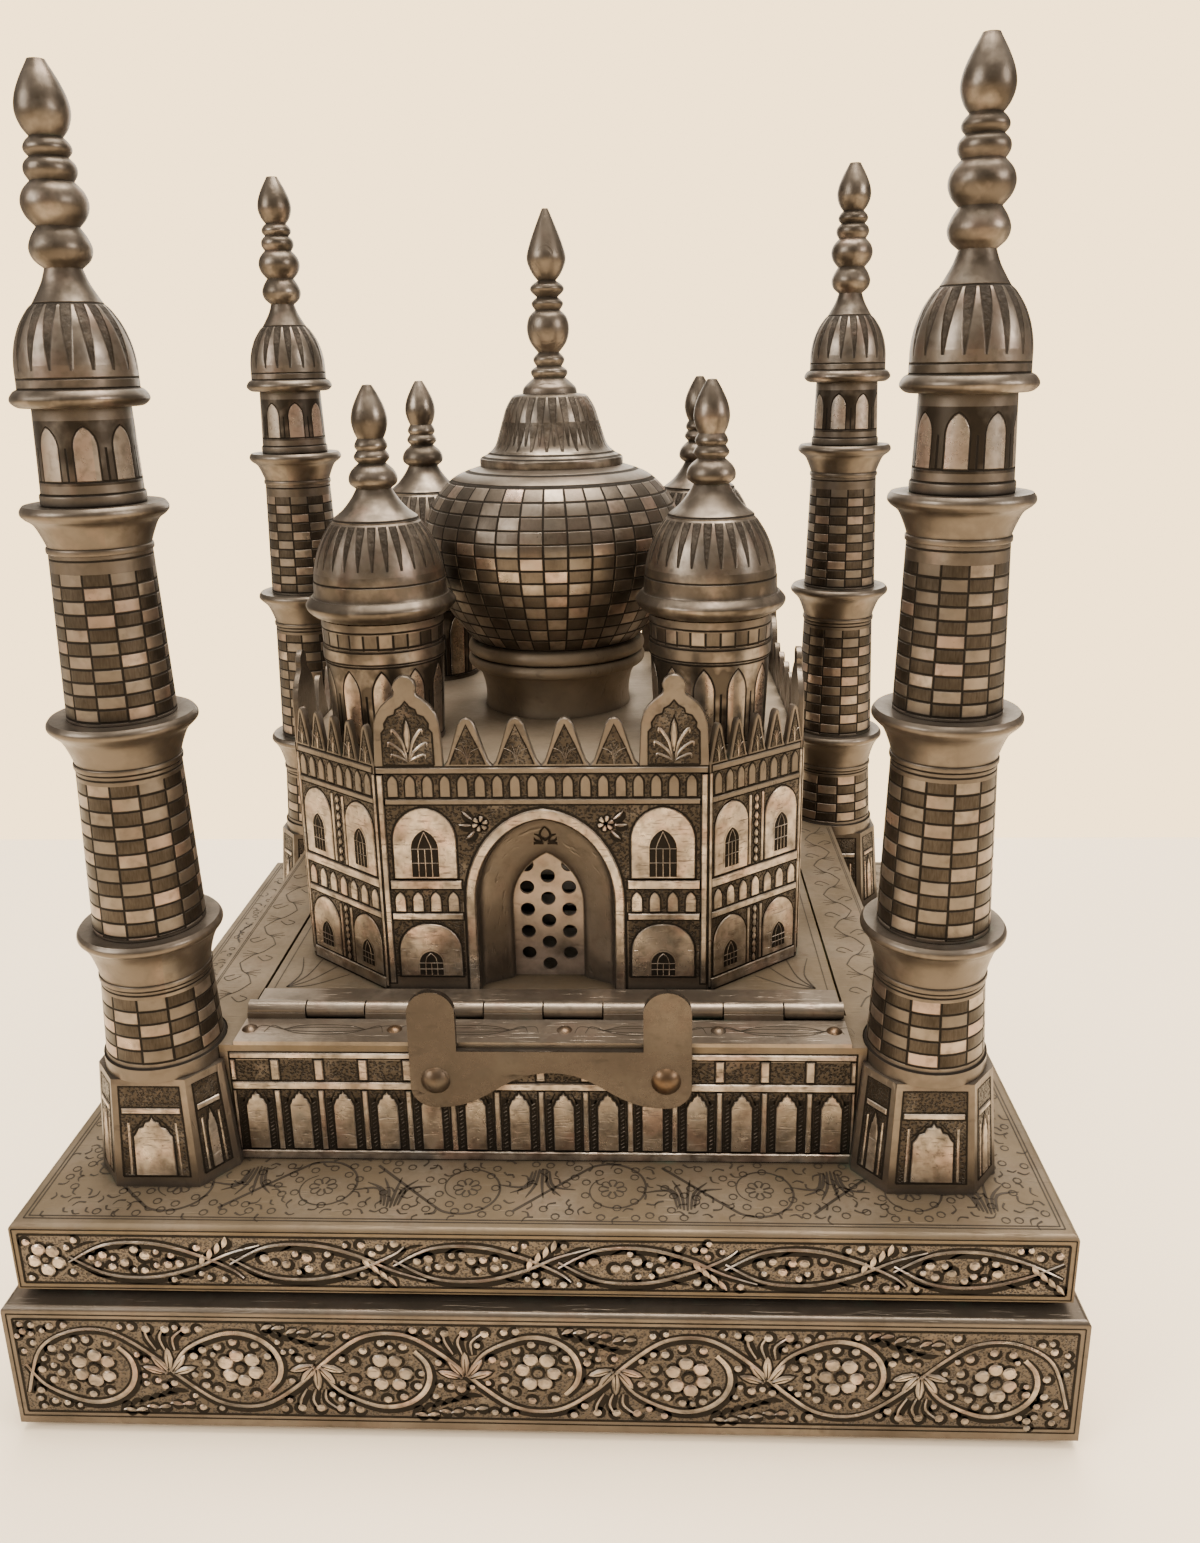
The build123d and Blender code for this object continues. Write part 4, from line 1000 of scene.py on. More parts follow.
class Relief(Piece):
    """Ornament in relief and in line on one panel."""

    def __init__(self, panel: Panel) -> None:
        """Start an empty relief on a panel."""
        super().__init__()
        self.panel = panel
        self.taken: list[tuple[float, float, float]] = []

    def flat(self, outline: Sequence[Point], out: float, mark: Coat) -> None:
        """Lay a flat shape in front of the panel.

        Args:
            outline: The shape.
            out: How far in front it lies.
            mark: The finish.
        """
        faces = []
        for face in tessellate_polygon([[Vector((x, y, 0.0)) for x, y in outline]]):
            a, b, c = (outline[corner] for corner in face)
            left = (b[0] - a[0]) * (c[1] - a[1]) - (c[0] - a[0]) * (b[1] - a[1]) > 0
            faces.append(face if left else face[::-1])
        self.add([self.panel.at(x, y, out) for x, y in outline], faces, mark)

    def raised(
        self, outline: Sequence[Point], out: float = 0.28, slope: float = 0.16,
        mark: Coat = Coat.BRIGHT, rim: float = 0.3,
    ) -> None:
        """Raise a shape with sloping sides inside an engraved outline.

        Args:
            outline: The shape, counter-clockwise.
            out: How far its top stands out.
            slope: How far the sides lean in.
            mark: The finish of the top.
            rim: The width of the engraved line round it.
        """
        if rim:
            self.flat(inset(outline, -rim), 0.05, Coat.LINE)
        top = inset(outline, slope)
        points = [self.panel.at(x, y, 0.04) for x, y in outline]
        points += [self.panel.at(x, y, out) for x, y in top]
        self.add(points, woven(2, len(outline), True, True), mark)
        self.flat(top, out, mark)

    def bar(self, left: float, right: float, low: float, high: float, **options: float) -> None:
        """Raise a straight bar, with the options that raised takes."""
        self.raised(box_outline(left, right, low, high), **options)

    def ground(self, left: float, right: float, low: float, high: float) -> None:
        """Lay stippled ground over a rectangle."""
        self.flat(box_outline(left, right, low, high), 0.02, Coat.GROUND)

    def stroke(
        self, points: Sequence[Point], start: float, end: float, out: float = 0.0,
        mark: Coat = Coat.LINE, belly: float = 0.0, lift: float = 0.0,
    ) -> None:
        """Draw a stroke whose width runs from start to end and swells by belly between.

        Args:
            points: The stroke's middle line.
            start: The width at the first point.
            end: The width at the last point.
            out: How far its ridge stands out. Zero gives a flat engraved line.
            mark: The finish.
            belly: The extra width half-way.
            lift: How far the stroke lies in front of the ground.
        """
        lift += 0.07 if mark == Coat.LINE else 0.05
        last = len(points) - 1
        edges = []
        for index, (x, y) in enumerate(points):
            share = index / last
            ahead = unit(points[max(index - 1, 0)], points[min(index + 1, last)])
            half = (start + (end - start) * share + belly * math.sin(math.pi * share)) / 2
            edges.append(self.panel.at(x + ahead[1] * half, y - ahead[0] * half, lift))
            edges.append(self.panel.at(x, y, lift + out))
            edges.append(self.panel.at(x - ahead[1] * half, y + ahead[0] * half, lift))
        self.add(edges, woven(last + 1, 3), mark)

    def stem(self, points: Sequence[Point], start: float, end: float, belly: float = 0.0) -> None:
        """Raise a stem along a curve over a dark stroke set lower, which shows broad on its lower side and
        fine above; the stroke is partly an engraved cut and partly a painted shadow.

        Args:
            points: The stem's middle line.
            start: The width at the first point.
            end: The width at the last point.
            belly: The extra width half-way.
        """
        # Dark stroke shifted down and right under the stem: partly an engraved cut, partly a painted
        # shadow.
        self.stroke(moved(points, 0.2, -0.28), start + 1.05, end + 0.65, belly=belly + 0.65)
        self.stroke(points, start, end, 0.2, Coat.BRIGHT, belly)
        reach = (start + end) / 4 + belly / 2 + 0.3
        self.taken.extend((x, y, reach) for x, y in points)

    def gash(self, points: Sequence[Point], width: float) -> None:
        """Cut a long dark stroke, broad in the middle and pointed at both ends."""
        self.stroke(points, 0.12, 0.1, belly=width)
        self.taken.extend((x, y, width / 2 + 0.15) for x, y in points)

    def bud(self, x: float, y: float, size: float, angle: float) -> None:
        """Raise a small round bud with a dark curled tail beside it, partly an engraved curl and partly a
        painted shadow.

        Args:
            x: Its place across.
            y: Its place up.
            size: Its radius.
            angle: Where the tail starts.
        """
        ring = [polar(x, y, size, step * math.tau / 8) for step in range(8)]
        self.raised(ring, 0.26, size * 0.35, rim=0.0)
        self.taken.append((x, y, size + 0.4))
        # Dark crescent round one side of the bud: partly an engraved curl, partly a painted shadow.
        tail = [polar(x, y, size * (1.12 + 0.05 * step), angle + step * 0.42) for step in range(10)]
        self.stroke(tail, 0.3, 0.3, belly=0.62)

    def room(self, x: float, y: float) -> float:
        """Return how far the nearest ornament is from a place."""
        return min(math.hypot(x - a, y - b) - reach for a, b, reach in self.taken)

    def fill(self, edges: tuple[float, float, float, float], chance: random.Random, tries: int) -> None:
        """Fill the ground that is left with buds, single or in threes.

        Args:
            edges: The ground's left, right, low and high edges.
            chance: The source of random places.
            tries: How many places are tried.
        """
        left, right, low, high = edges
        for _ in range(tries):
            x, y = chance.uniform(left, right), chance.uniform(low, high)
            size = chance.uniform(0.55, 0.85)
            room = self.room(x, y)
            if room < size:
                continue
            angle = chance.uniform(0, math.tau)
            self.bud(x, y, size, angle)
            if room > 2.2:
                for step in range(3):
                    turn = angle + step * math.tau / 3 + 0.5
                    self.bud(*polar(x, y, 1.6, turn), size * 0.85, turn)

    def petal(
        self, x: float, y: float, angle: float, length: float, width: float, blunt: float = 0.0
    ) -> None:
        """Raise a petal from a point.

        Args:
            x: The root's place across.
            y: The root's place up.
            angle: The direction it points in.
            length: Its length.
            width: Its width.
            blunt: 0 for a pointed end, 1 for a blunt one.
        """
        edge = [(0.0, 0.06), (0.25, 0.36), (0.55, 0.5), (0.85, 0.30 + 0.2 * blunt), (1.0, 0.32 * blunt)]
        shape = [(along, -side) for along, side in edge] + edge[::-1]
        cos, sin = math.cos(angle), math.sin(angle)
        outline = []
        for along, side in shape:
            forward, off = along * length, side * width
            outline.append((x + forward * cos - off * sin, y + forward * sin + off * cos))
            self.taken.append((*outline[-1], 0.35))
        if blunt == 0.0:
            outline.pop(5)
        self.raised(outline, 0.3, min(width * 0.2, 0.3), rim=0.34)

    def rosette(self, x: float, y: float, size: float, chance: random.Random, petals: int = 6) -> None:
        """Raise a rosette of uneven round petals with cut edges round a dark eye.

        Args:
            x: Its middle across.
            y: Its middle up.
            size: Its radius.
            chance: The source of small unevenness.
            petals: How many petals it has.
        """
        start = chance.uniform(0.0, 1.0)
        for index in range(petals):
            angle = math.tau * (index + start + chance.uniform(-0.08, 0.08)) / petals
            centre = polar(x, y, size * chance.uniform(0.60, 0.72), angle)
            radius = size * chance.uniform(0.86, 1.0) * 2.05 / petals
            lobe = [
                polar(*centre, radius * (0.82 if step == 11 else 1.0), angle + math.tau * (step + 0.5) / 12)
                for step in range(12)
            ]
            self.raised(lobe, 0.3, 0.3, rim=0.0)
            for low, high in ((-2.1, -0.25), (0.3, 2.0)):
                turns = [angle + low + (high - low) * step / 6 for step in range(7)]
                self.stroke([polar(*centre, radius + 0.12, turn) for turn in turns], 0.35, 0.25, belly=0.5)
        self.taken.append((x, y, size + 0.5))
        eye = [polar(x, y, size * 0.27, step * 0.57) for step in range(11)]
        self.flat(inset(eye, -0.12), 0.32, Coat.LINE)
        self.flat(inset(eye, 0.32), 0.34, Coat.GROUND)

    def palmette(self, x: float, y: float, up: float, size: float) -> None:
        """Raise a fan of five veined petals.

        Args:
            x: The root's place across.
            y: The root's place up.
            up: 1 where it opens upwards, -1 where it opens downwards.
            size: The middle petal's length.
        """
        for turn, reach in ((-1.25, 0.85), (1.25, 0.85), (-0.62, 0.9), (0.62, 0.9), (0.0, 1.0)):
            angle = up * math.pi / 2 + turn
            root = polar(x, y, 0.5, angle)
            self.petal(*root, angle, size * reach, size * 0.29)
            vein = [polar(*root, size * reach * share, angle) for share in (0.1, 0.45, 0.75)]
            self.stroke(vein, 0.24, 0.1, lift=0.26)

    def leaf(
        self, x: float, y: float, angle: float, length: float, width: float, bend: float
    ) -> None:
        """Raise a long curved leaf with a sharp end.

        Args:
            x: The root's place across.
            y: The root's place up.
            angle: The direction it starts in.
            length: Its length.
            width: Its width half-way.
            bend: How far it turns, in radians.
        """
        shares = [step / 6 for step in range(7)]
        points = [polar(x, y, length * share, angle + bend * share * 0.5) for share in shares]
        self.stem(points, 0.25, 0.12, width)

    def lattice(self, middle: float, base: float, half: float, spring: float, apex: float) -> None:
        """Cut a small window with glazing bars and two bends in its head.

        Args:
            middle: The window's middle.
            base: The sill.
            half: Half the width.
            spring: Where the sides start to bend.
            apex: The point's height.
        """
        self.flat(arch_outline(middle, base, half + 0.3, spring, apex + 0.4), 0.31, Coat.BRIGHT)
        self.flat(arch_outline(middle, base, half, spring, apex), 0.33, Coat.LINE)
        bars = [
            [(middle + offset * half, base), (middle + offset * half, spring)]
            for offset in (-0.5, 0.0, 0.5)
        ]
        for share in (0.5, 1.0):
            level = base + (spring - base) * share
            bars.append([(middle - half, level), (middle + half, level)])
        for side in (-1, 1):
            head = [(0.0, apex - 0.4), (side * half * 0.36, spring + 1.3), (side * half * 0.5, spring)]
            bars.append(smooth(moved(head, middle), 3))
        for bar in bars:
            self.stroke(bar, 0.16, 0.16, 0.05, Coat.BRIGHT, lift=0.31)


@dataclass
class Turned:
    """A turned piece: an outline of smooth runs spun about an upright axis."""

    runs: list[list[Point]]
    segments: int = 96

    def skin(
        self, node: str, body: str, axis: Point, finish: bpy.types.Material,
        slot: str = "engraved_plate",
    ) -> None:
        """Build the skin that stands for one CAD node.

        Args:
            node: The node.
            body: The body it moves with.
            axis: The axis's place in plan.
            finish: Its material.
            slot: Passed on to Piece.build, which does not use it.
        """
        piece = Piece()
        for run in self.runs:
            curve = smooth(run, 8) if len(run) > 2 else run
            points = []
            for radius, height in curve:
                for index in range(self.segments):
                    place = polar(*axis, radius, math.tau * index / self.segments)
                    points.append(Vector((*place, height)))
            piece.add(points, woven(len(curve), self.segments, True, True), 0)
        piece.build(node + "_skin", body, [finish], slot, [node])


PORCH_SECTION = [
    (0.0, 0.0), (0.03, 1.8), (0.09, 2.9), (0.30, 3.7), (0.60, 4.7), (0.85, 5.5), (0.97, 6.2), (1.0, 7.0),
]
PLACES = {
    "front_left": (-1, -1), "front_right": (1, -1), "rear_left": (-1, 1), "rear_right": (1, 1),
}


class Finishes:
    """The finishes shared by several sub-assemblies."""

    def __init__(self) -> None:
        """Build the shared materials."""
        self.plate = PlainPlate("tarnished_plate").make()
        handled = Plating(worn=(0.055, 0.045, 0.037), stained=(0.044, 0.037, 0.030), rough=0.26)
        # Lighter copy of the dusty plate for the roof and the dome's drum: partly their own matte tan,
        # partly painted light that lifts them out of the shade round the domes.
        painted_lit_dust = Plating(worn=(0.23, 0.185, 0.135), stained=(0.16, 0.128, 0.09), metal=0.5, rough=0.45)
        dust = Plating(worn=(0.128, 0.098, 0.064), stained=(0.088, 0.067, 0.043), metal=0.55, rough=0.46)
        self.painted_lit_dusty = PlainPlate("sheltered_plate", painted_lit_dust, 0.3).make()
        self.hinge = PlainPlate("hinge_plate", Plating(worn=(0.20, 0.165, 0.13), grime_and_shade=0.6), 0.6).make()
        self.worn = PlainPlate("handled_plate", handled, 0.12).make()
        self.dusty = PlainPlate("dusty_plate", dust, 0.2).make()
        self.bright = Polished().make()
        self.soft = Polished("softly_polished_relief", 0.84).make()
        self.line = EngravedLine().make()
        self.faint = EngravedLine("faint_engraved_line", 0.5, 0.7).make()
        ground = ReliefGround().make()
        scroll_ground = ReliefGround("scroll_ground", 0.5, 0.78).make()
        pale_ground = ReliefGround("pale_ground", 0.45, 1.35).make()
        bright_scroll = Polished("bright_scroll", 1.0).make()
        self.relief = [ground, self.bright, self.line, self.plate]
        self.scroll = [scroll_ground, self.soft, self.line]
        self.pale = [pale_ground, bright_scroll, self.line]
        self.fine = [self.dusty, self.soft, self.faint]


def dress_node(name: str, material: bpy.types.Material, bevel: float = 0.0) -> None:
    """Give a CAD node its finish and rounded edges.

    Args:
        name: The node.
        material: Its material.
        bevel: The rounding of its edges in millimetres.
    """
    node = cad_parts[name]
    node.data.materials.clear()
    node.data.materials.append(material)
    if bevel:
        modifier = node.modifiers.new("rounded_edges", "BEVEL")
        modifier.width = bevel * MM
        modifier.segments = 2
        modifier.limit_method = "ANGLE"
        modifier.angle_limit = math.radians(40)
        modifier.harden_normals = True


@dataclass
class Base:
    """The two tiers with their scroll ornament, the deck and the underside."""

    finishes: Finishes
    levels: Levels = LEVELS
    pitch: float = 27.4
    seed: int = 7

    @staticmethod
    def edges(half: Point) -> list[tuple[str, Point, Point]]:
        """Return each side's name and its two ends, seen from outside."""
        x, y = half
        corners = box_outline(-x, x, -y, y)
        names = ("front", "right", "rear", "left")
        return [(name, corners[index], corners[(index + 1) % 4]) for index, name in enumerate(names)]

    def build(self) -> None:
        """Build and dress the whole base."""
        levels = self.levels
        for name, *side in self.edges(levels.lower_half):
            relief = Relief(Panel.between(side, side, levels.base, levels.lower_top))
            self.lower_scroll(relief, random.Random(self.seed + len(name)))
            relief.build("lower_tier_scroll_" + name, "base", self.finishes.scroll)
        for name, *side in self.edges(levels.upper_half):
            relief = Relief(Panel.between(side, side, levels.cove_top, levels.deck))
            self.upper_scroll(relief, random.Random(self.seed * 3 + len(name)))
            relief.build("upper_tier_scroll_" + name, "base", self.finishes.pale)
        self.deck()
        dress_node("lower_tier", self.finishes.plate, 0.5)
        dress_node("upper_tier", self.finishes.dusty, 0.5)
        wood = BoardWood("bottom_board_wood").make()
        dress_node("bottom_board", wood)
        dress_node("corner_blocks", wood)
        dress_node("board_screws", Steel("board_screw_steel").make())
        dress_node("base_glides", Felt("glide_felt").make(), 0.4)

    def lower_scroll(self, relief: Relief, chance: random.Random) -> None:
        """Run a waving stem past rosettes in curls, with palmettes where it crosses between them.

        Args:
            relief: The panel's relief.
            chance: The source of small unevenness.
        """
        width = relief.panel.width
        left, right, low, high = -width / 2 + 2.2, width / 2 - 2.2, 3.0, 23.6
        middle = (low + high) / 2
        relief.ground(left, right, low, high)
        self.border(relief, left, right, low, high)
        count = int((right - left) / self.pitch)
        pitch = (right - left) / count
        wave: list[Point] = [(left + 0.6, middle - 6.0)]
        for index in range(count):
            x = left + pitch * (index + 0.5)
            up = 1 if index % 2 == 0 else -1
            for share, rise in ((-0.36, 3.6), (-0.14, 7.9), (0.12, 8.2), (0.36, 4.0)):
                wave.append((x + pitch * share, middle + up * rise))
            relief.rosette(x, middle - up * 0.3, 4.5, chance)
            self.curl(relief, x, middle, -up, pitch, chance)
        wave.append((right - 0.6, middle - 6.0 * (1 if count % 2 else -1)))
        relief.stem(smooth(wave, 7), 0.6, 0.6, 0.25)
        for index in range(1, count):
            self.junction(relief, left + pitch * index, middle, 1 if index % 2 else -1, chance)
        relief.fill((left + 0.9, right - 0.9, low + 0.9, high - 0.9), chance, int(width * 16))

    @staticmethod
    def curl(
        relief: Relief, x: float, middle: float, up: int, pitch: float, chance: random.Random
    ) -> None:
        """Raise the branch that curls round one rosette on the side that the wave leaves free.

        Args:
            relief: The panel's relief.
            x: The rosette's middle along the panel.
            middle: The rosette's middle up the panel.
            up: 1 where the branch passes above the rosette, -1 where it passes below.
            pitch: The distance to the next rosette.
            chance: The source of small unevenness.
        """
        points = [(x - pitch * 0.47, middle - up * 0.4), (x - pitch * 0.36, middle + up * 4.2)]
        for step in range(7):
            turn = math.pi * (0.68 - 0.155 * step)
            radius = 8.5 - step * 0.32
            points.append((x + radius * 1.06 * math.cos(turn), middle + up * radius * math.sin(turn)))
        relief.stem(smooth(points, 5), 0.5, 0.9, 0.35)
        for step in range(11):
            turn = math.tau * step / 11 + chance.uniform(-0.08, 0.08)
            reach = chance.uniform(6.1, 6.6)
            bud = (x + reach * 1.02 * math.cos(turn), middle + reach * math.sin(turn))
            if relief.room(*bud) > 0.5:
                relief.bud(*bud, 0.8, turn + chance.uniform(0.6, 1.8))

    @staticmethod
    def junction(relief: Relief, x: float, middle: float, up: int, chance: random.Random) -> None:
        """Raise a palmette on the wave, with budding stems beyond it and feathered cuts behind it.

        Args:
            relief: The panel's relief.
            x: Where the wave crosses the middle.
            middle: The middle's height on the panel.
            up: 1 where the palmette opens upwards, -1 where it opens downwards.
            chance: The source of small unevenness.
        """
        relief.palmette(x + 0.4, middle - up * 1.4, up, 5.6)
        for lean in (-0.62, -0.12, 0.42):
            root = (x + 0.4 + lean * 3.4, middle + up * 4.2)
            tip = (x + lean * 7.0 + 1.0, middle + up * 8.9)
            bend = (x + lean * 4.6 - 0.2, middle + up * 6.8)
            relief.stem(smooth([root, bend, tip], 4), 0.3, 0.3, 0.2)
            relief.bud(tip[0] + 0.3, tip[1] - up * 0.2, 0.85, chance.uniform(0, 6))
        for order in range(6):
            reach = 4.2 - order * 0.35
            root = (x + 3.4 - order * 2.2, middle - up * (5.4 + order * 0.62))
            tip = (root[0] - reach, root[1] - up * (0.6 + 0.28 * order))
            bend = (root[0] - reach * 0.5, root[1] + up * 0.25)
            relief.gash(smooth([root, bend, tip], 4), 1.05)
            side = (root[0] + reach * 0.2, root[1] - up * (2.6 - 0.22 * order))
            relief.leaf(*side, math.pi - up * 0.3 * (order % 2), 2.3, 0.8, 0.3)

    def upper_scroll(self, relief: Relief, chance: random.Random) -> None:
        """Run crossing stems with buds and feathered leaves along the upper tier.

        Args:
            relief: The panel's relief.
            chance: The source of small unevenness.
        """
        width = relief.panel.width
        left, right, low, high = -width / 2 + 1.8, width / 2 - 1.8, 1.7, 11.7
        middle = (low + high) / 2
        relief.ground(left, right, low, high)
        self.border(relief, left, right, low, high)
        relief.rosette(left + 4.4, middle, 3.4, chance, 5)
        count = int((right - left - 9.0) / 27.0)
        pitch = (right - left - 9.0) / count
        for index in range(count):
            x = left + 9.0 + pitch * index
            up = 1 if index % 2 else -1
            for side in (1, -1):
                bends = [(-0.4 / pitch, -0.6), (0.22, 3.2), (0.5, 3.7), (0.76, 1.6), (0.98, -1.6)]
                if index < count - 1:
                    bends.append((1.12 + 0.06 * side, -3.6))
                wave = [(x + pitch * share, middle + side * up * rise) for share, rise in bends]
                relief.stem(smooth(wave, 6), 0.4, 0.25, 0.45)
            for share, side in ((0.2, 1), (0.33, -1), (0.46, 1), (0.6, -1)):
                bud = (x + pitch * share, middle + side * chance.uniform(0.6, 1.0))
                relief.bud(*bud, chance.uniform(0.85, 1.0), chance.uniform(0, 6))
            for order in range(4):
                root = (x + pitch * (0.80 + 0.05 * order), middle + up * (1.0 - 1.3 * order))
                relief.leaf(*root, math.atan2(-up * 2.4, 1.1), 2.5, 0.9, 0.4)
            for share, side in ((0.02, 1), (0.08, -1), (0.3, 1), (0.62, -1)):
                cut = smooth([(0.0, 0.0), (2.4, side * 1.3), (4.6, side * 1.7)], 4)
                relief.gash(moved(cut, x + pitch * share, middle + side * 2.2), 0.5)
        relief.fill((left + 0.7, right - 0.7, low + 0.7, high - 0.7), chance, int(width * 9))

    @staticmethod
    def border(relief: Relief, left: float, right: float, low: float, high: float) -> None:
        """Draw the double engraved line round a panel.

        Args:
            relief: The panel's relief.
            left: The ground's left edge.
            right: The ground's right edge.
            low: The ground's lower edge.
            high: The ground's upper edge.
        """
        for out, width in ((0.25, 0.45), (1.3, 0.2)):
            corners = box_outline(left - out, right + out, low - out, high + out)
            for index in range(4):
                relief.stroke([corners[index], corners[(index + 1) % 4]], width, width)

    def deck(self) -> None:
        """Engrave a fine flowering scroll on the deck round the platform."""
        levels = self.levels
        chance = random.Random(self.seed + 40)
        reaches = [levels.upper_half[axis] - levels.platform_half[axis] for axis in (1, 0)]
        for index, (name, start, end) in enumerate(self.edges(levels.upper_half)):
            inward = unit((0.0, 0.0), (-(end[1] - start[1]), end[0] - start[0]))
            reach = reaches[index % 2]
            far = moved((start, end), inward[0] * reach, inward[1] * reach)
            relief = Relief(Panel.between((start, end), far, levels.deck, levels.deck))
            self.fine_scroll(relief, reach, chance, index % 2 == 0)
            relief.build("deck_engraving_" + name, "base", self.finishes.fine)

    @classmethod
    def fine_scroll(cls, relief: Relief, reach: float, chance: random.Random, whole: bool) -> None:
        """Draw the deck's scroll in fine lines on one side.

        Args:
            relief: The side's relief.
            reach: The side's depth up to the platform.
            chance: The source of random places.
            whole: Whether the scroll runs into the corners.
        """
        half = relief.panel.width / 2
        for out in (2.0, 2.7):
            relief.stroke([(-half + out, out), (half - out, out)], 0.24, 0.24)
        span = half - (14.0 if whole else 34.0)
        count = max(2, int(2 * span / 27.0))
        pitch = 2 * span / count
        middle = 3.2 + (reach - 3.2) / 2
        size = (reach - 4.2) / 2
        relief.taken.append((0.0, -50.0, 1.0))
        for index in range(count):
            x = -span + pitch * (index + 0.5)
            up = 1 if index % 2 else -1
            ring = [
                polar(x, middle, size * (1 - step * 0.05), up * (2.6 - step * 0.62))
                for step in range(12)
            ]
            relief.stroke(smooth([(x - pitch * 0.66, middle - up * size * 0.8)] + ring, 5), 0.55, 0.16)
            cls.engraved_flower(relief, x, middle, 2.6)
            for step in range(9):
                cls.berry(relief, *polar(x, middle, size * 0.68, math.tau * step / 9))
            for lean in (-1.1, -0.7, -0.3, 0.1, 0.5, 0.9):
                root = (x + pitch / 2 + lean * 1.6, middle - up * size * (0.75 - abs(lean) * 0.12))
                tip = (root[0] + 6.8 * math.sin(lean), root[1] + up * 8.6 * math.cos(lean))
                bend = (root[0] + 1.4 * math.sin(lean), root[1] + up * 4.4)
                relief.stroke(smooth([root, bend, tip], 4), 0.3, 0.12, belly=0.35)
                relief.taken.append((*tip, 0.8))
        for _ in range(int(half * 22)):
            x, y = chance.uniform(-half + 4, half - 4), chance.uniform(3.6, reach - 0.8)
            if abs(x) > half - y * 1.2 or relief.room(x, y) < 1.0:
                continue
            if chance.random() < 0.4:
                cls.berry(relief, x, y)
            else:
                cls.hook(relief, x, y, chance.uniform(0, math.tau), chance.uniform(1.6, 2.6))

    @staticmethod
    def engraved_flower(relief: Relief, x: float, y: float, size: float) -> None:
        """Draw a round flower of eight looped petals in line.

        Args:
            relief: The side's relief.
            x: Its middle across.
            y: Its middle up.
            size: Its radius.
        """
        for petal in range(8):
            angle = math.tau * petal / 8
            loop = ((0.3, -0.25), (0.85, -0.32), (1.0, 0.0), (0.85, 0.32), (0.3, 0.25))
            line = [polar(x, y, size * reach, angle + lean) for reach, lean in loop]
            relief.stroke(smooth(line, 3), 0.2, 0.2)
        relief.taken.append((x, y, size + 0.4))

    @staticmethod
    def berry(relief: Relief, x: float, y: float) -> None:
        """Draw a small round berry in line."""
        relief.stroke([polar(x, y, 0.75, step * 0.7) for step in range(10)], 0.3, 0.14)
        relief.taken.append((x, y, 1.0))

    @staticmethod
    def hook(relief: Relief, x: float, y: float, turn: float, length: float) -> None:
        """Draw a short curled stroke.

        Args:
            relief: The side's relief.
            x: Its start across.
            y: Its start up.
            turn: The direction it starts in.
            length: Its length.
        """
        bend = polar(x, y, length * 0.6, turn)
        relief.stroke(smooth([(x, y), bend, polar(x, y, length, turn + 0.5)], 3), 0.42, 0.12)
        relief.taken.append((*bend, 0.7))


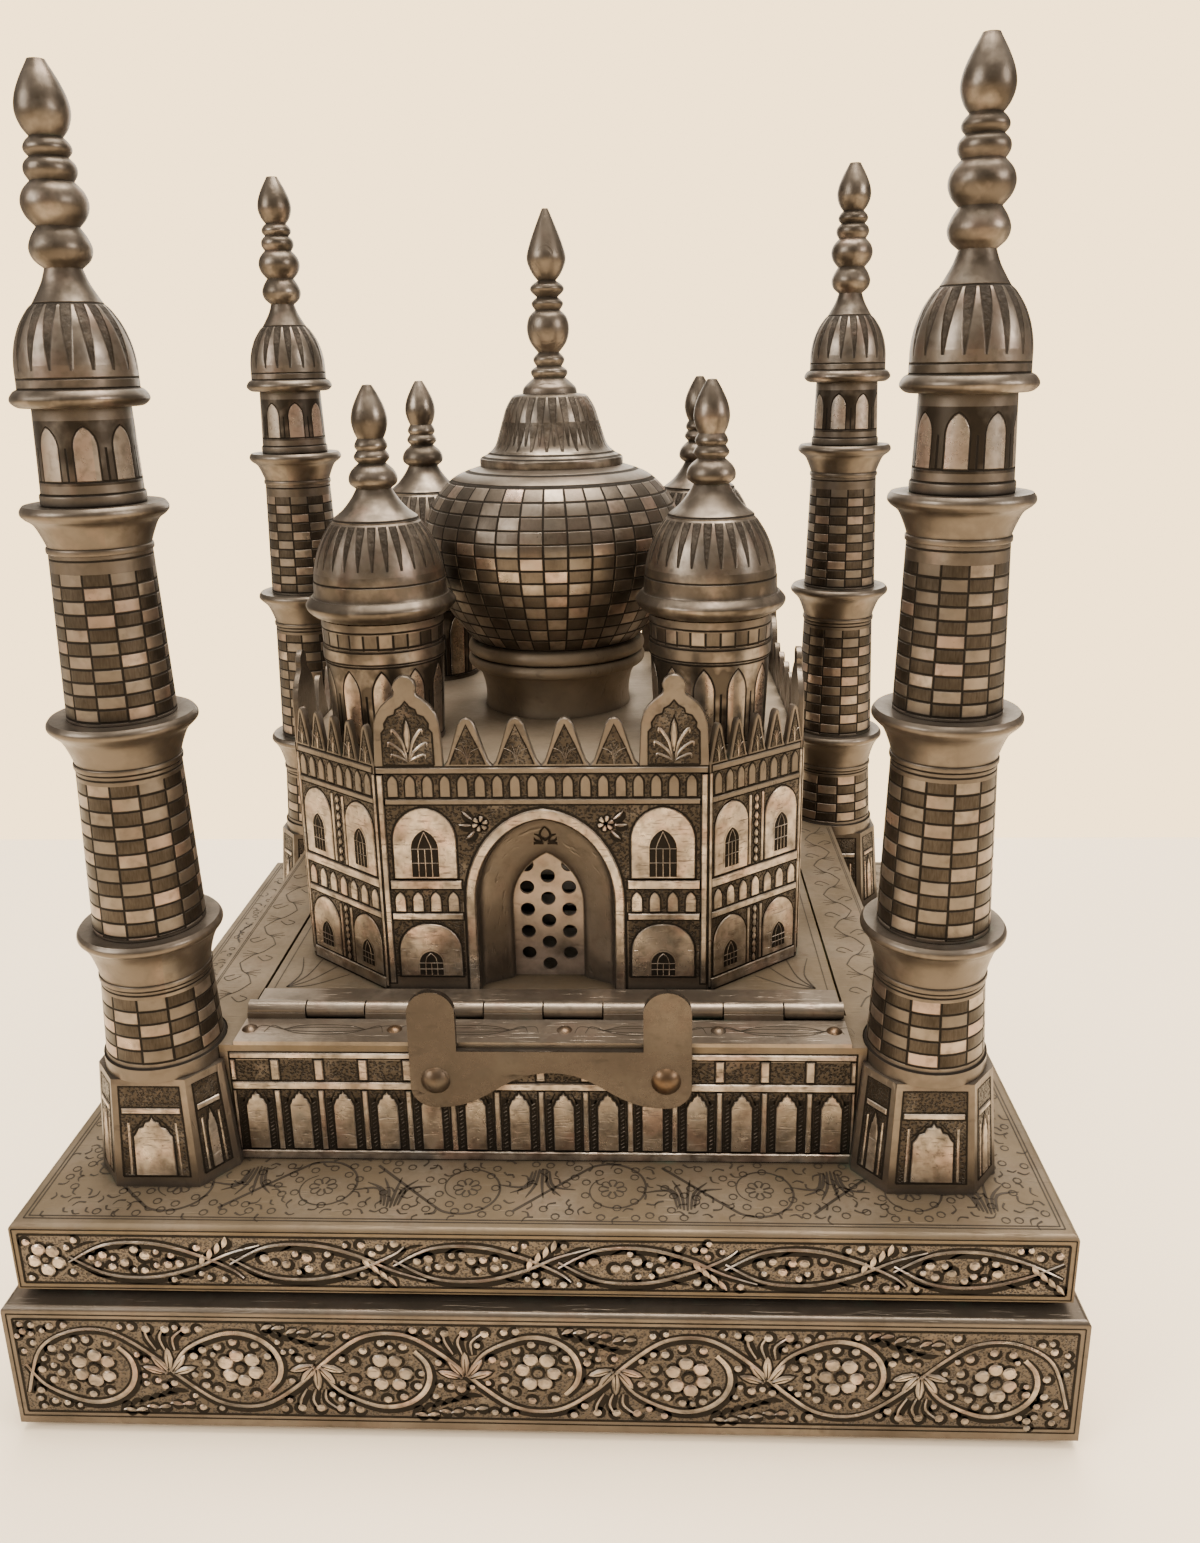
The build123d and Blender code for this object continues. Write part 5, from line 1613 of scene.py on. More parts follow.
@dataclass
class Platform:
    """The arcaded walls, the rim, the hinge and the stop plate."""

    finishes: Finishes
    levels: Levels = LEVELS
    pitch: float = 8.41
    front_span: float = 59.4
    side_span: float = 49.2

    def build(self) -> None:
        """Build and dress the platform."""
        levels = self.levels
        x, y = levels.platform_half
        front, side = self.front_span, self.side_span
        walls = {
            "front": ((-front, -y), (front, -y)),
            "right": ((x, -side), (x, side)),
            "rear": ((front, y), (-front, y)),
            "left": ((-x, side), (-x, -side)),
        }
        for name, ends in walls.items():
            relief = Relief(Panel.between(ends, ends, levels.deck, levels.rim_under))
            self.arcade(relief)
            relief.build("platform_arcade_" + name, "base", self.finishes.relief)
        self.rim()
        for node in ("platform_front_wall", "platform_rear_and_side_walls"):
            dress_node(node, self.finishes.plate)
        dress_node("platform_rim", self.finishes.dusty, 0.3)
        dress_node("fixed_hinge_leaf", self.finishes.hinge, 0.15)
        dress_node("lid_stop_plate", self.finishes.worn, 0.45)
        rivet = PlainPlate("rivet_plate", Plating(worn=(0.095, 0.06, 0.035)), 0.12).make()
        for node in ("hinge_leaf_rivets", "stop_plate_rivets", "hinge_pin"):
            dress_node(node, rivet)

    def arcade(self, relief: Relief) -> None:
        """Lay the frieze and the row of cusped arches on one wall.

        Args:
            relief: The wall's relief.
        """
        half = relief.panel.width / 2
        relief.ground(-half, half, 2.0, 21.8)
        for low, high in ((22.3, 23.4), (15.6, 17.1), (0.1, 1.9)):
            relief.bar(-half, half, low, high, out=0.3)
        count = int(2 * half / self.pitch)
        pitch = 2 * half / count
        for index in range(count + 1):
            x = -half + pitch * index
            relief.bar(max(x - 0.8, -half), min(x + 0.8, half), 17.6, 21.9, out=0.24)
            relief.bar(max(x - 0.5, -half), min(x + 0.5, half), 2.2, 15.2, out=0.24)
            for rope in (x - 1.5, x + 1.5):
                if abs(rope) < half - 0.5:
                    self.rope(relief, rope)
        for index in range(count):
            x = -half + pitch * (index + 0.5)
            relief.raised(cusped_outline(x, 2.4, 1.95, 12.0, 15.1), 0.26, 0.12, rim=0.4)
            for side in (-1, 1):
                relief.stroke([(x + side * 2.6, 12.6), (x + side * 1.6, 14.9)], 0.3, 0.2)

    @staticmethod
    def rope(relief: Relief, x: float) -> None:
        """Raise a thin twisted column.

        Args:
            relief: The wall's relief.
            x: Its place across.
        """
        relief.stroke([(x, 2.3), (x, 13.6)], 1.15, 1.15)
        for step in range(12):
            y = 2.8 + step * 0.86
            relief.stroke([(x - 0.34, y), (x + 0.34, y + 0.5)], 0.26, 0.26, 0.1, Coat.GROUND)

    def rim(self) -> None:
        """Engrave the tulip chain on the rim's sides and the lozenges on the hinge leaf."""
        levels = self.levels
        near, far, reach = levels.platform_half[0], levels.lid_half + 0.9, 48.0
        for name, side in (("right", 1), ("left", -1)):
            edges = [[(side * x, end * side * reach) for end in (-1, 1)] for x in (near, far)]
            relief = Relief(Panel.between(*edges, levels.rim, levels.rim))
            self.tulips(relief)
            relief.build("rim_engraving_" + name, "base", self.finishes.fine)
        leaf_z = levels.rim + 0.8
        edges = [[(end * 58.0, y) for end in (-1, 1)] for y in (-levels.platform_half[1], -54.9)]
        leaf = Relief(Panel.between(*edges, leaf_z, leaf_z))
        for x in (-42.0, -14.0, 20.0, 46.0):
            self.lozenge(leaf, x, 4.4)
        materials = [self.finishes.hinge, self.finishes.soft, self.finishes.faint]
        leaf.build("hinge_leaf_engraving", "base", materials)

    @staticmethod
    def lozenge(relief: Relief, x: float, y: float) -> None:
        """Draw a long pointed lozenge with leaves at its ends.

        Args:
            relief: The leaf's relief.
            x: Its middle across.
            y: Its middle up.
        """
        for side in (-1, 1):
            for bulge in (0.7, 1.5):
                lens = [(-8.0, 0.0), (-4.0, side * bulge), (4.0, side * bulge), (8.0, 0.0)]
                relief.stroke(smooth(moved(lens, x, y), 6), 0.16, 0.16)
            for reach in (10.5, 12.5):
                tail = [(side * 8.0, 0.0), (side * reach, 1.4), (side * (reach + 1), -1.0)]
                relief.stroke(smooth(moved(tail, x, y), 4), 0.16, 0.12)

    @staticmethod
    def tulips(relief: Relief) -> None:
        """Draw a chain of tulip buds and looped leaves along a rim.

        Args:
            relief: The rim's relief.
        """
        half = relief.panel.width / 2
        middle = relief.panel.height / 2
        count = int(2 * half / 8.6)
        pitch = 2 * half / count
        for offset in (0.9, 1.3):
            relief.stroke([(-half, offset), (half, offset)], 0.14, 0.14)
        for index in range(count):
            x = -half + pitch * (index + 0.5)
            up = 1 if index % 2 else -1
            wave = [(-pitch / 2, -up * 2.6), (-1.0, -up), (1.0, up), (pitch / 2, up * 2.6)]
            relief.stroke(smooth(moved(wave, x, middle), 5), 0.28, 0.18)
            for lean in (-0.55, 0.0, 0.55):
                tip = (x + 2.6 * math.sin(lean), middle + up * 3.4 * math.cos(lean))
                relief.stroke([(x, middle), tip], 0.12, 0.1, belly=0.5)
            loop = [(1.4, -up * 0.4), (3.4, -up * 2.4), (2.0, -up * 3.8), (0.9, -up * 2.0)]
            relief.stroke(smooth(moved(loop, x, middle), 5), 0.2, 0.2)


@dataclass
class Minarets:
    """The four corner towers on their octagonal feet."""

    finishes: Finishes
    levels: Levels = LEVELS
    shaft_edges: tuple[float, ...] = (69.4, 84.4, 94.4, 125.4, 134.5, 163.4, 171.4, 187.0)
    taper: float = 0.87

    def build(self) -> None:
        """Build and dress the four minarets."""
        ring, top_1, floor_1, top_2, floor_2, top_3, floor_3, cap = self.shaft_edges
        tower = Chequer(
            "chequered_tower", self.levels.minaret, 12, 9.6,
            (
                (ring + 0.5, top_1 - 1.6, 5), (floor_1 + 0.4, top_2 - 1.8, 11),
                (floor_2 + 0.4, top_3 - 3.0, 11),
            ),
            (
                ring - 0.2, top_1 - 0.8, top_1, top_2 - 0.9, top_2, top_3 - 0.8,
                floor_3 + 1.9, floor_3 + 4.0,
            ),
            True, (floor_3 + 4.0, floor_3 + 9.4, floor_3 + 12.8, 8), glow=0.82,
        ).make()
        bell = Flutes(
            "fluted_bell", self.levels.minaret, 18, cap + 5.6, cap + 15.9, 8.5,
            (cap + 3.0, cap + 4.6, cap + 16.1),
        ).make()
        shafts, head = Turned(self.tower_runs()), Turned(self.cap_runs(cap))
        for name, (side_x, side_y) in PLACES.items():
            axis = (side_x * self.levels.minaret[0], side_y * self.levels.minaret[1])
            node = "minaret_" + name
            shafts.skin(node + "_tower", "base", axis, tower)
            head.skin(node + "_cap", "base", axis, bell, "polished_plate")
            dress_node(node + "_foot", self.finishes.plate, 0.3)
            self.foot_panels(node + "_foot_panel_", axis)

    def tower_runs(self) -> list[list[Point]]:
        """Return the tower's outline from its ring to its drum."""
        ring, top_1, floor_1, top_2, floor_2, top_3, floor_3, cap = self.shaft_edges
        runs: list[list[Point]] = [
            [(9.0, 66.4), (11.2, 66.4)],
            [(11.2, 66.4), (11.2, ring - 0.3)],
            [(11.2, ring - 0.3), (10.75, ring)],
            [(10.75, ring), (9.95, top_1)],
        ]
        for low, high, neck, radius, foot in (
            (top_1, floor_1, 9.95, 12.9, 10.0),
            (top_2, floor_2, 9.05, 12.7, 9.25),
            (top_3, floor_3, 8.4, 11.8, 8.25),
        ):
            height, edge, flare = high - low, high - 2.0, radius - neck
            ring_edge = neck + 0.25
            runs.append([(neck, low), (ring_edge, low + 0.15), (ring_edge, low + 0.9), (neck, low + 1.1)])
            runs.append([
                (neck, low + 1.1), (neck + flare * 0.18, low + height * 0.35),
                (neck + flare * 0.46, low + height * 0.60), (radius - 0.6, edge - 0.2),
            ])
            rim = [(radius, edge + 0.5), (radius, edge + 1.3), (radius - 0.5, high)]
            runs.append([(radius - 0.6, edge - 0.2), *rim])
            runs.append([(radius - 0.5, high), (foot, high - 0.1)])
        runs.insert(8, [(10.0, floor_1), (9.05, top_2)])
        runs.insert(13, [(9.25, floor_2), (8.4, top_3)])
        return runs + chained(
            floor_3, (8.25, -0.1), [(8.45, 0.3), (8.45, 1.6), (8.2, 1.9)], [(7.75, cap - floor_3)]
        )

    @staticmethod
    def cap_runs(cap: float) -> list[list[Point]]:
        """Return the outline of the bell dome and its finial.

        Args:
            cap: The height where the bell starts.

        Returns:
            The outline's runs.
        """
        return chained(
            cap, (7.6, 0.0),
            [(9.6, 0.1), (10.7, 0.9), (10.8, 1.7), (10.2, 2.6), (9.5, 3.0)],
            [(9.45, 6.6)],
            [(9.25, 8.4), (8.75, 10.6), (7.8, 13.0), (6.4, 15.2), (5.5, 16.1)],
            [(4.6, 17.6), (3.6, 19.5), (2.9, 21.5)],
            [(4.3, 22.8), (4.8, 24.4), (4.3, 26.1), (3.3, 27.7)],
            [(4.6, 29.3), (5.1, 31.1), (4.6, 32.9), (3.3, 34.4)],
            [(3.9, 35.4), (4.0, 36.3), (3.7, 37.1), (2.9, 37.9)],
            [(3.5, 38.6), (3.6, 39.3), (3.2, 40.1), (2.5, 40.8)],
            [(3.5, 42.2), (4.1, 44.2), (3.85, 46.4), (2.9, 48.8), (1.6, 51.2), (1.35, 51.7)],
            [(0.02, 51.7)],
        )

    def foot_panels(self, name: str, axis: Point) -> None:
        """Lay a framed arch on each face of a foot.

        Args:
            name: The start of the pieces' names.
            axis: The minaret's place in plan.
        """
        right = [(8.0, -11.5), (13.6, -4.6), (13.6, 4.6), (8.0, 11.5)]
        plan = [(-8.0, -11.5), *right, (-8.0, 11.5), (-13.6, 4.6), (-13.6, -4.6)]
        for index in range(8):
            ends = (plan[index], plan[(index + 1) % 8])
            far = [(x * self.taper, y * self.taper) for x, y in ends]
            panel = Panel.between(
                moved(ends, *axis), moved(far, *axis), self.levels.deck, self.levels.foot_top
            )
            relief = Relief(panel)
            half = panel.width / 2 - 1.5
            relief.ground(-half, half, 2.2, 20.8)
            frame_line = box_outline(-half, half, 2.2, 20.8)
            relief.stroke(frame_line + frame_line[:1], 0.4, 0.4)
            relief.bar(-half + 0.4, half - 0.4, 15.3, 16.4, out=0.22, rim=0.3)
            door = min(half - 2.0, 3.9)
            relief.raised(cusped_outline(0.0, 2.5, door, 10.6, 14.5), 0.24, 0.12, rim=0.4)
            for side in (-1, 1):
                jamb = [(side * (door + 0.95), 2.6), (side * (door + 0.95), 13.4)]
                relief.stroke(jamb, 0.45, 0.45, 0.12, Coat.BRIGHT)
                relief.stroke([(side * (door + 0.3), 11.6), (side * (door * 0.3), 14.6)], 0.35, 0.2)
            relief.build(name + str(index + 1), "base", self.finishes.relief)


@dataclass
class Hall:
    """The domed hall on the lid.

    The portal's and the door's three sizes are their half width, spring and apex.
    """

    finishes: Finishes
    levels: Levels = LEVELS
    half_width: float = 52.5
    half_depth: float = 48.4
    facade_half: float = 32.5
    cornice: float = 48.8
    tab: float = 13.5
    portal: tuple[float, float, float] = (13.8, 20.0, 37.6)
    door: tuple[float, float, float] = (7.2, 16.5, 27.8)
    fullness: float = 0.7
    porch: float = 7.0
    merlon: float = 9.7
    corner_merlon: float = 8.0

    def corners(self) -> list[Point]:
        """Return the hall's eight corners, counter-clockwise from the front left."""
        f, w, d = self.facade_half, self.half_width, self.half_depth
        plan = [(-f, -d), (f, -d), (w, -f), (w, f), (f, d), (-f, d), (-w, f), (-w, -f)]
        return moved(plan, 0.0, self.levels.hall_y)

    def build(self) -> None:
        """Build and dress the hall, its lid and its domes."""
        corners = self.corners()
        names = {0: "front", 2: "right", 4: "rear", 6: "left"}
        corner_piece, corner_relief, niches = Piece(), Piece(), Piece()
        for index in range(8):
            ends = (corners[index], corners[(index + 1) % 8])
            panel = Panel.between(ends, ends, self.levels.rim, self.levels.roof)
            if index in names:
                self.facade(panel, names[index])
                self.niche(panel, niches)
                self.soffit_flower(panel, names[index])
            else:
                self.corner_wall(panel, corner_piece, corner_relief)
        corner_piece.build(
            "corner_walls_skin", "lid", [self.finishes.plate], stands_for=["corner_walls"]
        )
        corner_relief.build("corner_wall_engraving", "lid", self.finishes.relief)
        niche_plate = PlainPlate("niche_plate", Plating(grime_and_shade=0.7, reach=1.6), 0.2).make()
        niches.build(
            "portal_niche_skins", "lid", [niche_plate, self.finishes.bright, self.finishes.line],
            stands_for=["portal_niches"],
        )
        self.lid()
        self.dome()
        self.kiosks()

    @staticmethod
    def slab(piece: Piece, panel: Panel, outline: Sequence[Point], thick: float = 1.2) -> None:
        """Add a wall of one thickness with rounded front edges.

        Args:
            piece: The piece that gets the wall.
            panel: The wall's outer face.
            outline: The wall's outline.
            thick: Its thickness.
        """
        front = inset(outline, 0.22)
        points = [panel.at(x, y, 0.0) for x, y in front]
        points += [panel.at(x, y, -0.22) for x, y in outline]
        points += [panel.at(x, y, -thick) for x, y in outline]
        piece.add(points, woven(3, len(outline), True), 0)
        for shape, out, step in ((front, 0.0, 1), (outline, -thick, -1)):
            face = Relief(panel)
            face.flat(shape, out, Coat.GROUND)
            piece.add(face.points, [corners[::step] for corners in face.faces], 0)

    def crown(self, left: float, right: float, count: int, height: float) -> list[Point]:
        """Return a row of round-tipped merlons from right to left on the cornice.

        Args:
            left: The row's left end.
            right: The row's right end.
            count: How many merlons there are.
            height: Their height.

        Returns:
            The row's outline.
        """
        half = (right - left) / count / 2
        bends = ((1.0, 0.0), (0.84, 0.10), (0.66, 0.36), (0.47, 0.66), (0.34, 0.87), (0.18, 0.97))
        shape = mirrored([(half * across, height * up) for across, up in bends], (0.0, height))
        points: list[Point] = []
        for index in range(count):
            points += moved(shape[:-1], right - half * 2 * (index + 0.5), self.cornice)
        return [*points, (left, self.cornice)]

    def tab_shape(self, middle: float) -> list[Point]:
        """Return a tall trefoil-headed tab from right to left.

        Args:
            middle: The tab's middle.

        Returns:
            The tab's outline.
        """
        bends = (
            (1.0, 0.0), (0.97, 5.0), (0.94, 8.6), (0.86, 10.6), (0.70, 12.2), (0.50, 13.4),
            (0.34, 14.2), (0.30, 15.0), (0.34, 16.0), (0.28, 17.1), (0.14, 17.9),
        )
        right = [(self.tab / 2 * across, up) for across, up in bends]
        return moved(mirrored(right, (0.0, 18.1)), middle, self.cornice)

    def facade(self, panel: Panel, name: str) -> None:
        """Build one main wall with its portal, windows, arcades and crown.

        Args:
            panel: The wall's outer face.
            name: The start of its pieces' names.
        """
        half = self.facade_half
        inner = half - self.tab
        arch = arch_outline(0.0, 0.0, *self.portal, 10, self.fullness)
        outline = [(-half, 0.0), arch[0], *arch[:1:-1], arch[1], (half, 0.0)]
        outline += self.tab_shape(half - self.tab / 2)
        outline += self.crown(-inner, inner, 4, self.merlon)[1:-1]
        outline += self.tab_shape(-half + self.tab / 2)
        clean = [outline[0]]
        for point in outline[1:]:
            if math.dist(point, clean[-1]) > 0.05:
                clean.append(point)
        wall = Piece()
        self.slab(wall, panel, clean)
        wall.build(name + "_facade_skin", "lid", [self.finishes.plate], stands_for=[name + "_facade"])
        relief = Relief(panel)
        self.facade_relief(relief)
        relief.build(name + "_facade_engraving", "lid", self.finishes.relief)

    def facade_relief(self, relief: Relief) -> None:
        """Lay the bands, windows, arcades, portal arch and crown ornament on a main wall.

        Args:
            relief: The wall's relief.
        """
        half = self.facade_half - 1.6
        near, reach = 16.6, 6.3
        wide = self.facade_half - 0.2
        relief.bar(-wide, wide, 47.3, 48.5, out=0.3, mark=Coat.PLAIN)
        relief.ground(-half, half, 42.3, 47.1)
        relief.bar(-half, half, 40.9, 42.0, out=0.3, mark=Coat.PLAIN)
        self.small_arcade(relief, -half, half, 18, 42.5, 45.2, 46.9, Coat.PLAIN)
        for side in (-1, 1):
            left, right = (near, half) if side > 0 else (-half, -near)
            relief.ground(left, right, 3.4, 40.6)
            middle = side * 23.6
            relief.bar(left, right, 22.9, 24.7, out=0.3)
            relief.bar(left, right, 16.2, 17.5, out=0.3)
            self.small_arcade(relief, left, right, 4, 18.0, 20.4, 22.2)
            relief.raised(arch_outline(middle, 25.2, reach, 33.4, 40.2, 8, 0.3), 0.28, 0.15, rim=0.4)
            relief.lattice(middle, 25.6, 2.7, 31.6, 35.6)
            relief.raised(arch_outline(middle, 3.6, reach, 9.4, 15.2, 8, 0.3), 0.24, 0.15, rim=0.4)
            for jamb in (-1, 1):
                edges = sorted((middle + jamb * (reach - 1.4), middle + jamb * (reach - 0.3)))
                relief.bar(*edges, 3.8, 9.6, out=0.32, rim=0.2)
            relief.lattice(middle, 3.9, 2.4, 6.6, 9.2)
            self.spandrel(relief, side, near)
            edge = side * (self.facade_half - 0.8)
            relief.bar(edge - 0.55, edge + 0.55, 2.0, 47.0, out=0.26)
            self.sprig(relief, side * 12.4, 36.8, side)
        outside = arch_outline(0.0, 0.0, 15.9, 20.0, 40.0, 12, self.fullness)
        portal_half, _, apex = self.portal
        inside = arch_outline(0.0, 0.0, portal_half + 0.15, 20.0, apex + 0.2, 12, self.fullness)
        self.arch_band(relief, outside, inside)
        inner = self.facade_half - self.tab
        self.merlon_panels(relief, -inner, inner, 4, self.merlon)
        for side in (-1, 1):
            self.tab_panel(relief, side * (self.facade_half - self.tab / 2))

    @staticmethod
    def spandrel(relief: Relief, side: int, edge: float) -> None:
        """Lay dark ground between one side of the portal's arch and the windows.

        Args:
            relief: The wall's relief.
            side: 1 for the right side, -1 for the left.
            edge: How far the ground reaches from the middle.
        """
        arch = arch_outline(0.0, 20.0, 15.9, 20.0, 40.0, 12, 0.7)
        flank = [point for point in arch if point[0] * side > -0.01 and point[1] >= 20.0]
        flank.sort(key=lambda point: point[1])
        shape = [*flank, (0.0, 40.6), (side * edge, 40.6), (side * edge, 20.0)]
        relief.flat(shape, 0.02, Coat.GROUND)

    @staticmethod
    def arch_band(relief: Relief, outer: Sequence[Point], inner: Sequence[Point]) -> None:
        """Raise a band between two arches, with an engraved line outside it.

        Args:
            relief: The wall's relief.
            outer: The outer arch.
            inner: The inner arch.
        """
        count = len(outer)
        order = [*range(1, count), 0]
        lanes = ((outer, 0.06), (inset(outer, 0.25), 0.34), (inset(inner, -0.25), 0.34), (inner, 0.0))
        points = []
        for index in order:
            for outline, out in lanes:
                x, y = outline[index]
                points.append(relief.panel.at(x, max(y, 0.0), out))
        relief.add(points, woven(count, 4), Coat.BRIGHT)
        rim = inset(outer, -0.25)
        relief.stroke([(rim[index][0], max(rim[index][1], 0.0)) for index in order], 0.5, 0.5)

    @staticmethod
    def small_arcade(
        relief: Relief, left: float, right: float, count: int, base: float, spring: float,
        apex: float, mark: Coat = Coat.BRIGHT,
    ) -> None:
        """Raise a row of small arches.

        Args:
            relief: The wall's relief.
            left: The row's left end.
            right: The row's right end.
            count: How many arches there are.
            base: Their sill.
            spring: Where their sides start to bend.
            apex: Their height.
            mark: Their finish.
        """
        pitch = (right - left) / count
        for index in range(count):
            x = left + pitch * (index + 0.5)
            relief.raised(arch_outline(x, base, pitch * 0.29, spring, apex, 4), 0.22, 0.1, mark, 0.26)

    @staticmethod
    def sprig(relief: Relief, x: float, y: float, side: int) -> None:
        """Engrave a small flower with leaves beside the portal.

        Args:
            relief: The wall's relief.
            x: The flower's place across.
            y: The flower's place up.
            side: 1 where the leaves point to the right, -1 where they point to the left.
        """
        for step in range(6):
            angle = math.tau * step / 6 + 0.3
            relief.petal(*polar(x, y, 0.35, angle), angle, 1.25, 0.85, 1.0)
        for reach, lean in ((2.6, 0.55), (2.4, -0.15), (2.6, -0.95)):
            turn = lean if side > 0 else math.pi - lean
            relief.leaf(*polar(x, y, 1.8, turn), turn, reach, 0.45, 0.4 * side)

    def merlon_panels(
        self, relief: Relief, left: float, right: float, count: int, height: float
    ) -> None:
        """Sink a dark pointed field with a small plant into each merlon.

        Args:
            relief: The wall's relief.
            left: The row's left end.
            right: The row's right end.
            count: How many merlons there are.
            height: Their height.
        """
        pitch = (right - left) / count
        half = pitch / 2 - min(1.3, pitch * 0.2)
        base = self.cornice + 0.3
        waist = (half * 0.55, height * 0.40)
        shape = [(-half, 0.0), (half, 0.0), waist, (0.0, height * 0.83), (-waist[0], waist[1])]
        for index in range(count):
            x = left + pitch * (index + 0.5)
            outline = moved(shape, x, base)
            relief.flat(outline, 0.03, Coat.GROUND)
            relief.stroke(outline[1:] + outline[:1], 0.28, 0.28)
            for lean in (-0.6, -0.2, 0.2, 0.6):
                tip = (x + lean * half * 1.1, base + height * (0.45 - 0.18 * abs(lean)))
                bend = (x + lean * half * 0.3, base + height * 0.25)
                relief.stroke(smooth([(x, base), bend, tip], 3), 0.2, 0.12, 0.1, Coat.BRIGHT)

    def tab_panel(self, relief: Relief, x: float) -> None:
        """Sink a dark trefoil field with a palm plant into a tall tab.

        Args:
            relief: The wall's relief.
            x: The tab's middle.
        """
        base = self.cornice + 0.2
        right = [
            (5.0, 0.0), (4.9, 6.6), (4.2, 7.4), (4.3, 8.4), (3.4, 9.8), (2.2, 10.2), (1.9, 11.2),
            (0.8, 11.8),
        ]
        outline = moved(mirrored(right, (0.0, 12.9)), x, base)
        relief.flat(outline, 0.03, Coat.GROUND)
        relief.stroke(outline + outline[:1], 0.34, 0.34)
        relief.petal(x, base + 2.6, math.pi / 2, 6.6, 1.3)
        for side in (-1, 1):
            for reach, rise, width in ((2.7, 7.2, 0.45), (3.5, 4.6, 0.4), (3.1, 2.2, 0.35)):
                bends = ((0.2, 0.8), (reach * 0.35, rise * 0.62), (reach, rise), (reach + 0.3, rise - 0.9))
                plant = moved([(side * across, up) for across, up in bends], x, base)
                relief.stroke(smooth(plant, 5), 0.16, 0.12, 0.14, Coat.BRIGHT, width)

    def corner_wall(self, panel: Panel, wall: Piece, engraving: Piece) -> None:
        """Build one slanting wall with its windows, arcades and crown.

        Args:
            panel: The wall's outer face.
            wall: The piece that gets the wall.
            engraving: The piece that gets its ornament.
        """
        half = panel.width / 2
        self.slab(wall, panel, [(-half, 0.0), (half, 0.0), *self.crown(-half, half, 5, self.corner_merlon)])
        relief = Relief(panel)
        inner, strip = half - 0.9, 1.7
        relief.ground(-inner, inner, 3.0, 46.9)
        for low, high in ((22.9, 24.7), (16.2, 17.5), (0.3, 2.8)):
            relief.bar(-inner, inner, low, high, out=0.26)
        for low, high in ((47.3, 48.5), (40.9, 42.0)):
            relief.bar(-inner, inner, low, high, out=0.26, mark=Coat.PLAIN)
        self.small_arcade(relief, -inner, inner, 8, 42.5, 45.2, 46.9, Coat.PLAIN)
        self.small_arcade(relief, -inner, inner, 7, 18.0, 20.4, 22.2)
        reach = (inner - strip) / 2 - 0.7
        for base, spring, apex in ((25.2, 35.2, 40.2), (3.2, 10.6, 15.6)):
            for side in (-1, 1):
                middle = side * (strip + inner) / 2
                relief.raised(arch_outline(middle, base, reach, spring, apex), 0.26, 0.12, rim=0.3)
                relief.lattice(middle, base + 1.2, reach * 0.42, spring - 3.6, spring - 0.6)
            for x in (-strip, strip):
                relief.bar(x - 0.3, x + 0.3, base, apex, out=0.22, rim=0.18)
            for step in range(4):
                y = base + (apex - base) * (step + 0.5) / 4
                for angle in (math.pi / 2, -math.pi / 2):
                    relief.petal(0.0, y, angle, 1.7, 1.0)
        for side in (-1, 1):
            edge = side * (half - 0.6)
            relief.bar(edge - 0.3, edge + 0.3, 1.0, 47.0, out=0.22, rim=0.15)
        self.merlon_panels(relief, -half, half, 5, self.corner_merlon)
        engraving.join(relief)

    def soffit_flower(self, panel: Panel, name: str) -> None:
        """Engrave a flower with two leaves on the hollow above a door.

        Args:
            panel: The wall's outer face.
            name: The start of the piece's name.
        """
        relief = Relief(Soffit(panel.low_left, panel.low_right, panel.high_left, panel.high_right))
        self.drawn_petal(relief, 0.0, 31.3, math.pi / 2, 3.4, 2.0)
        for side in (-1, 1):
            self.drawn_petal(relief, side * 0.7, 31.0, math.pi / 2 - side * 0.75, 2.8, 1.2)
            self.drawn_petal(relief, side * 1.6, 30.9, math.pi / 2 - side * 1.35, 2.6, 1.3)
            curl = [(side * 0.4, 30.6), (side * 2.4, 30.7), (side * 4.3, 29.8), (side * 4.6, 28.9)]
            relief.stroke(smooth(curl, 4), 0.4, 0.3, belly=0.3)
        relief.build(name + "_porch_flower", "lid", self.finishes.relief)

    @staticmethod
    def drawn_petal(
        relief: Relief, x: float, y: float, angle: float, length: float, width: float
    ) -> None:
        """Draw a pointed petal in line.

        Args:
            relief: The hollow's relief.
            x: The root's place across.
            y: The root's place up.
            angle: The direction it points in.
            length: Its length.
            width: Its width.
        """
        cos, sin = math.cos(angle), math.sin(angle)
        for side in (-1, 1):
            line = []
            for share, off in ((0.0, 0.0), (0.35, 0.5), (0.7, 0.4), (1.0, 0.0)):
                forward, out = share * length, side * off * width
                line.append((x + forward * cos - out * sin, y + forward * sin + out * cos))
            relief.stroke(smooth(line, 4), 0.34, 0.24, belly=0.15)

    def niche(self, panel: Panel, piece: Piece) -> None:
        """Build the hollow porch that narrows in a curve to the door's frame.

        Args:
            panel: The wall's outer face.
            piece: The piece that gets the porch.
        """
        outer = arch_outline(0.0, 0.0, *self.portal, 12, self.fullness)
        inner = arch_outline(0.0, 0.0, *self.door, 12)
        grown = inset(inner, -0.9)
        count = len(outer)
        order = [*range(1, count), 0]
        section = smooth(PORCH_SECTION, 3)
        points = []
        for share, drop in section:
            for index in order:
                x = outer[index][0] + (inner[index][0] - outer[index][0]) * share
                y = outer[index][1] + (inner[index][1] - outer[index][1]) * share
                points.append(panel.at(x, max(y, 0.0), -0.1 - drop))
        piece.add(points, woven(len(section), count, flip=True), 0)
        frame_points = []
        for index in order:
            for line, out in ((inner, -0.05), (inner, 0.45), (grown, 0.45), (grown, 0.1)):
                x, y = line[index]
                frame_points.append(panel.at(x, max(y, 0.0), -self.porch + out))
        piece.add(frame_points, woven(count, 4, flip=True), 0)

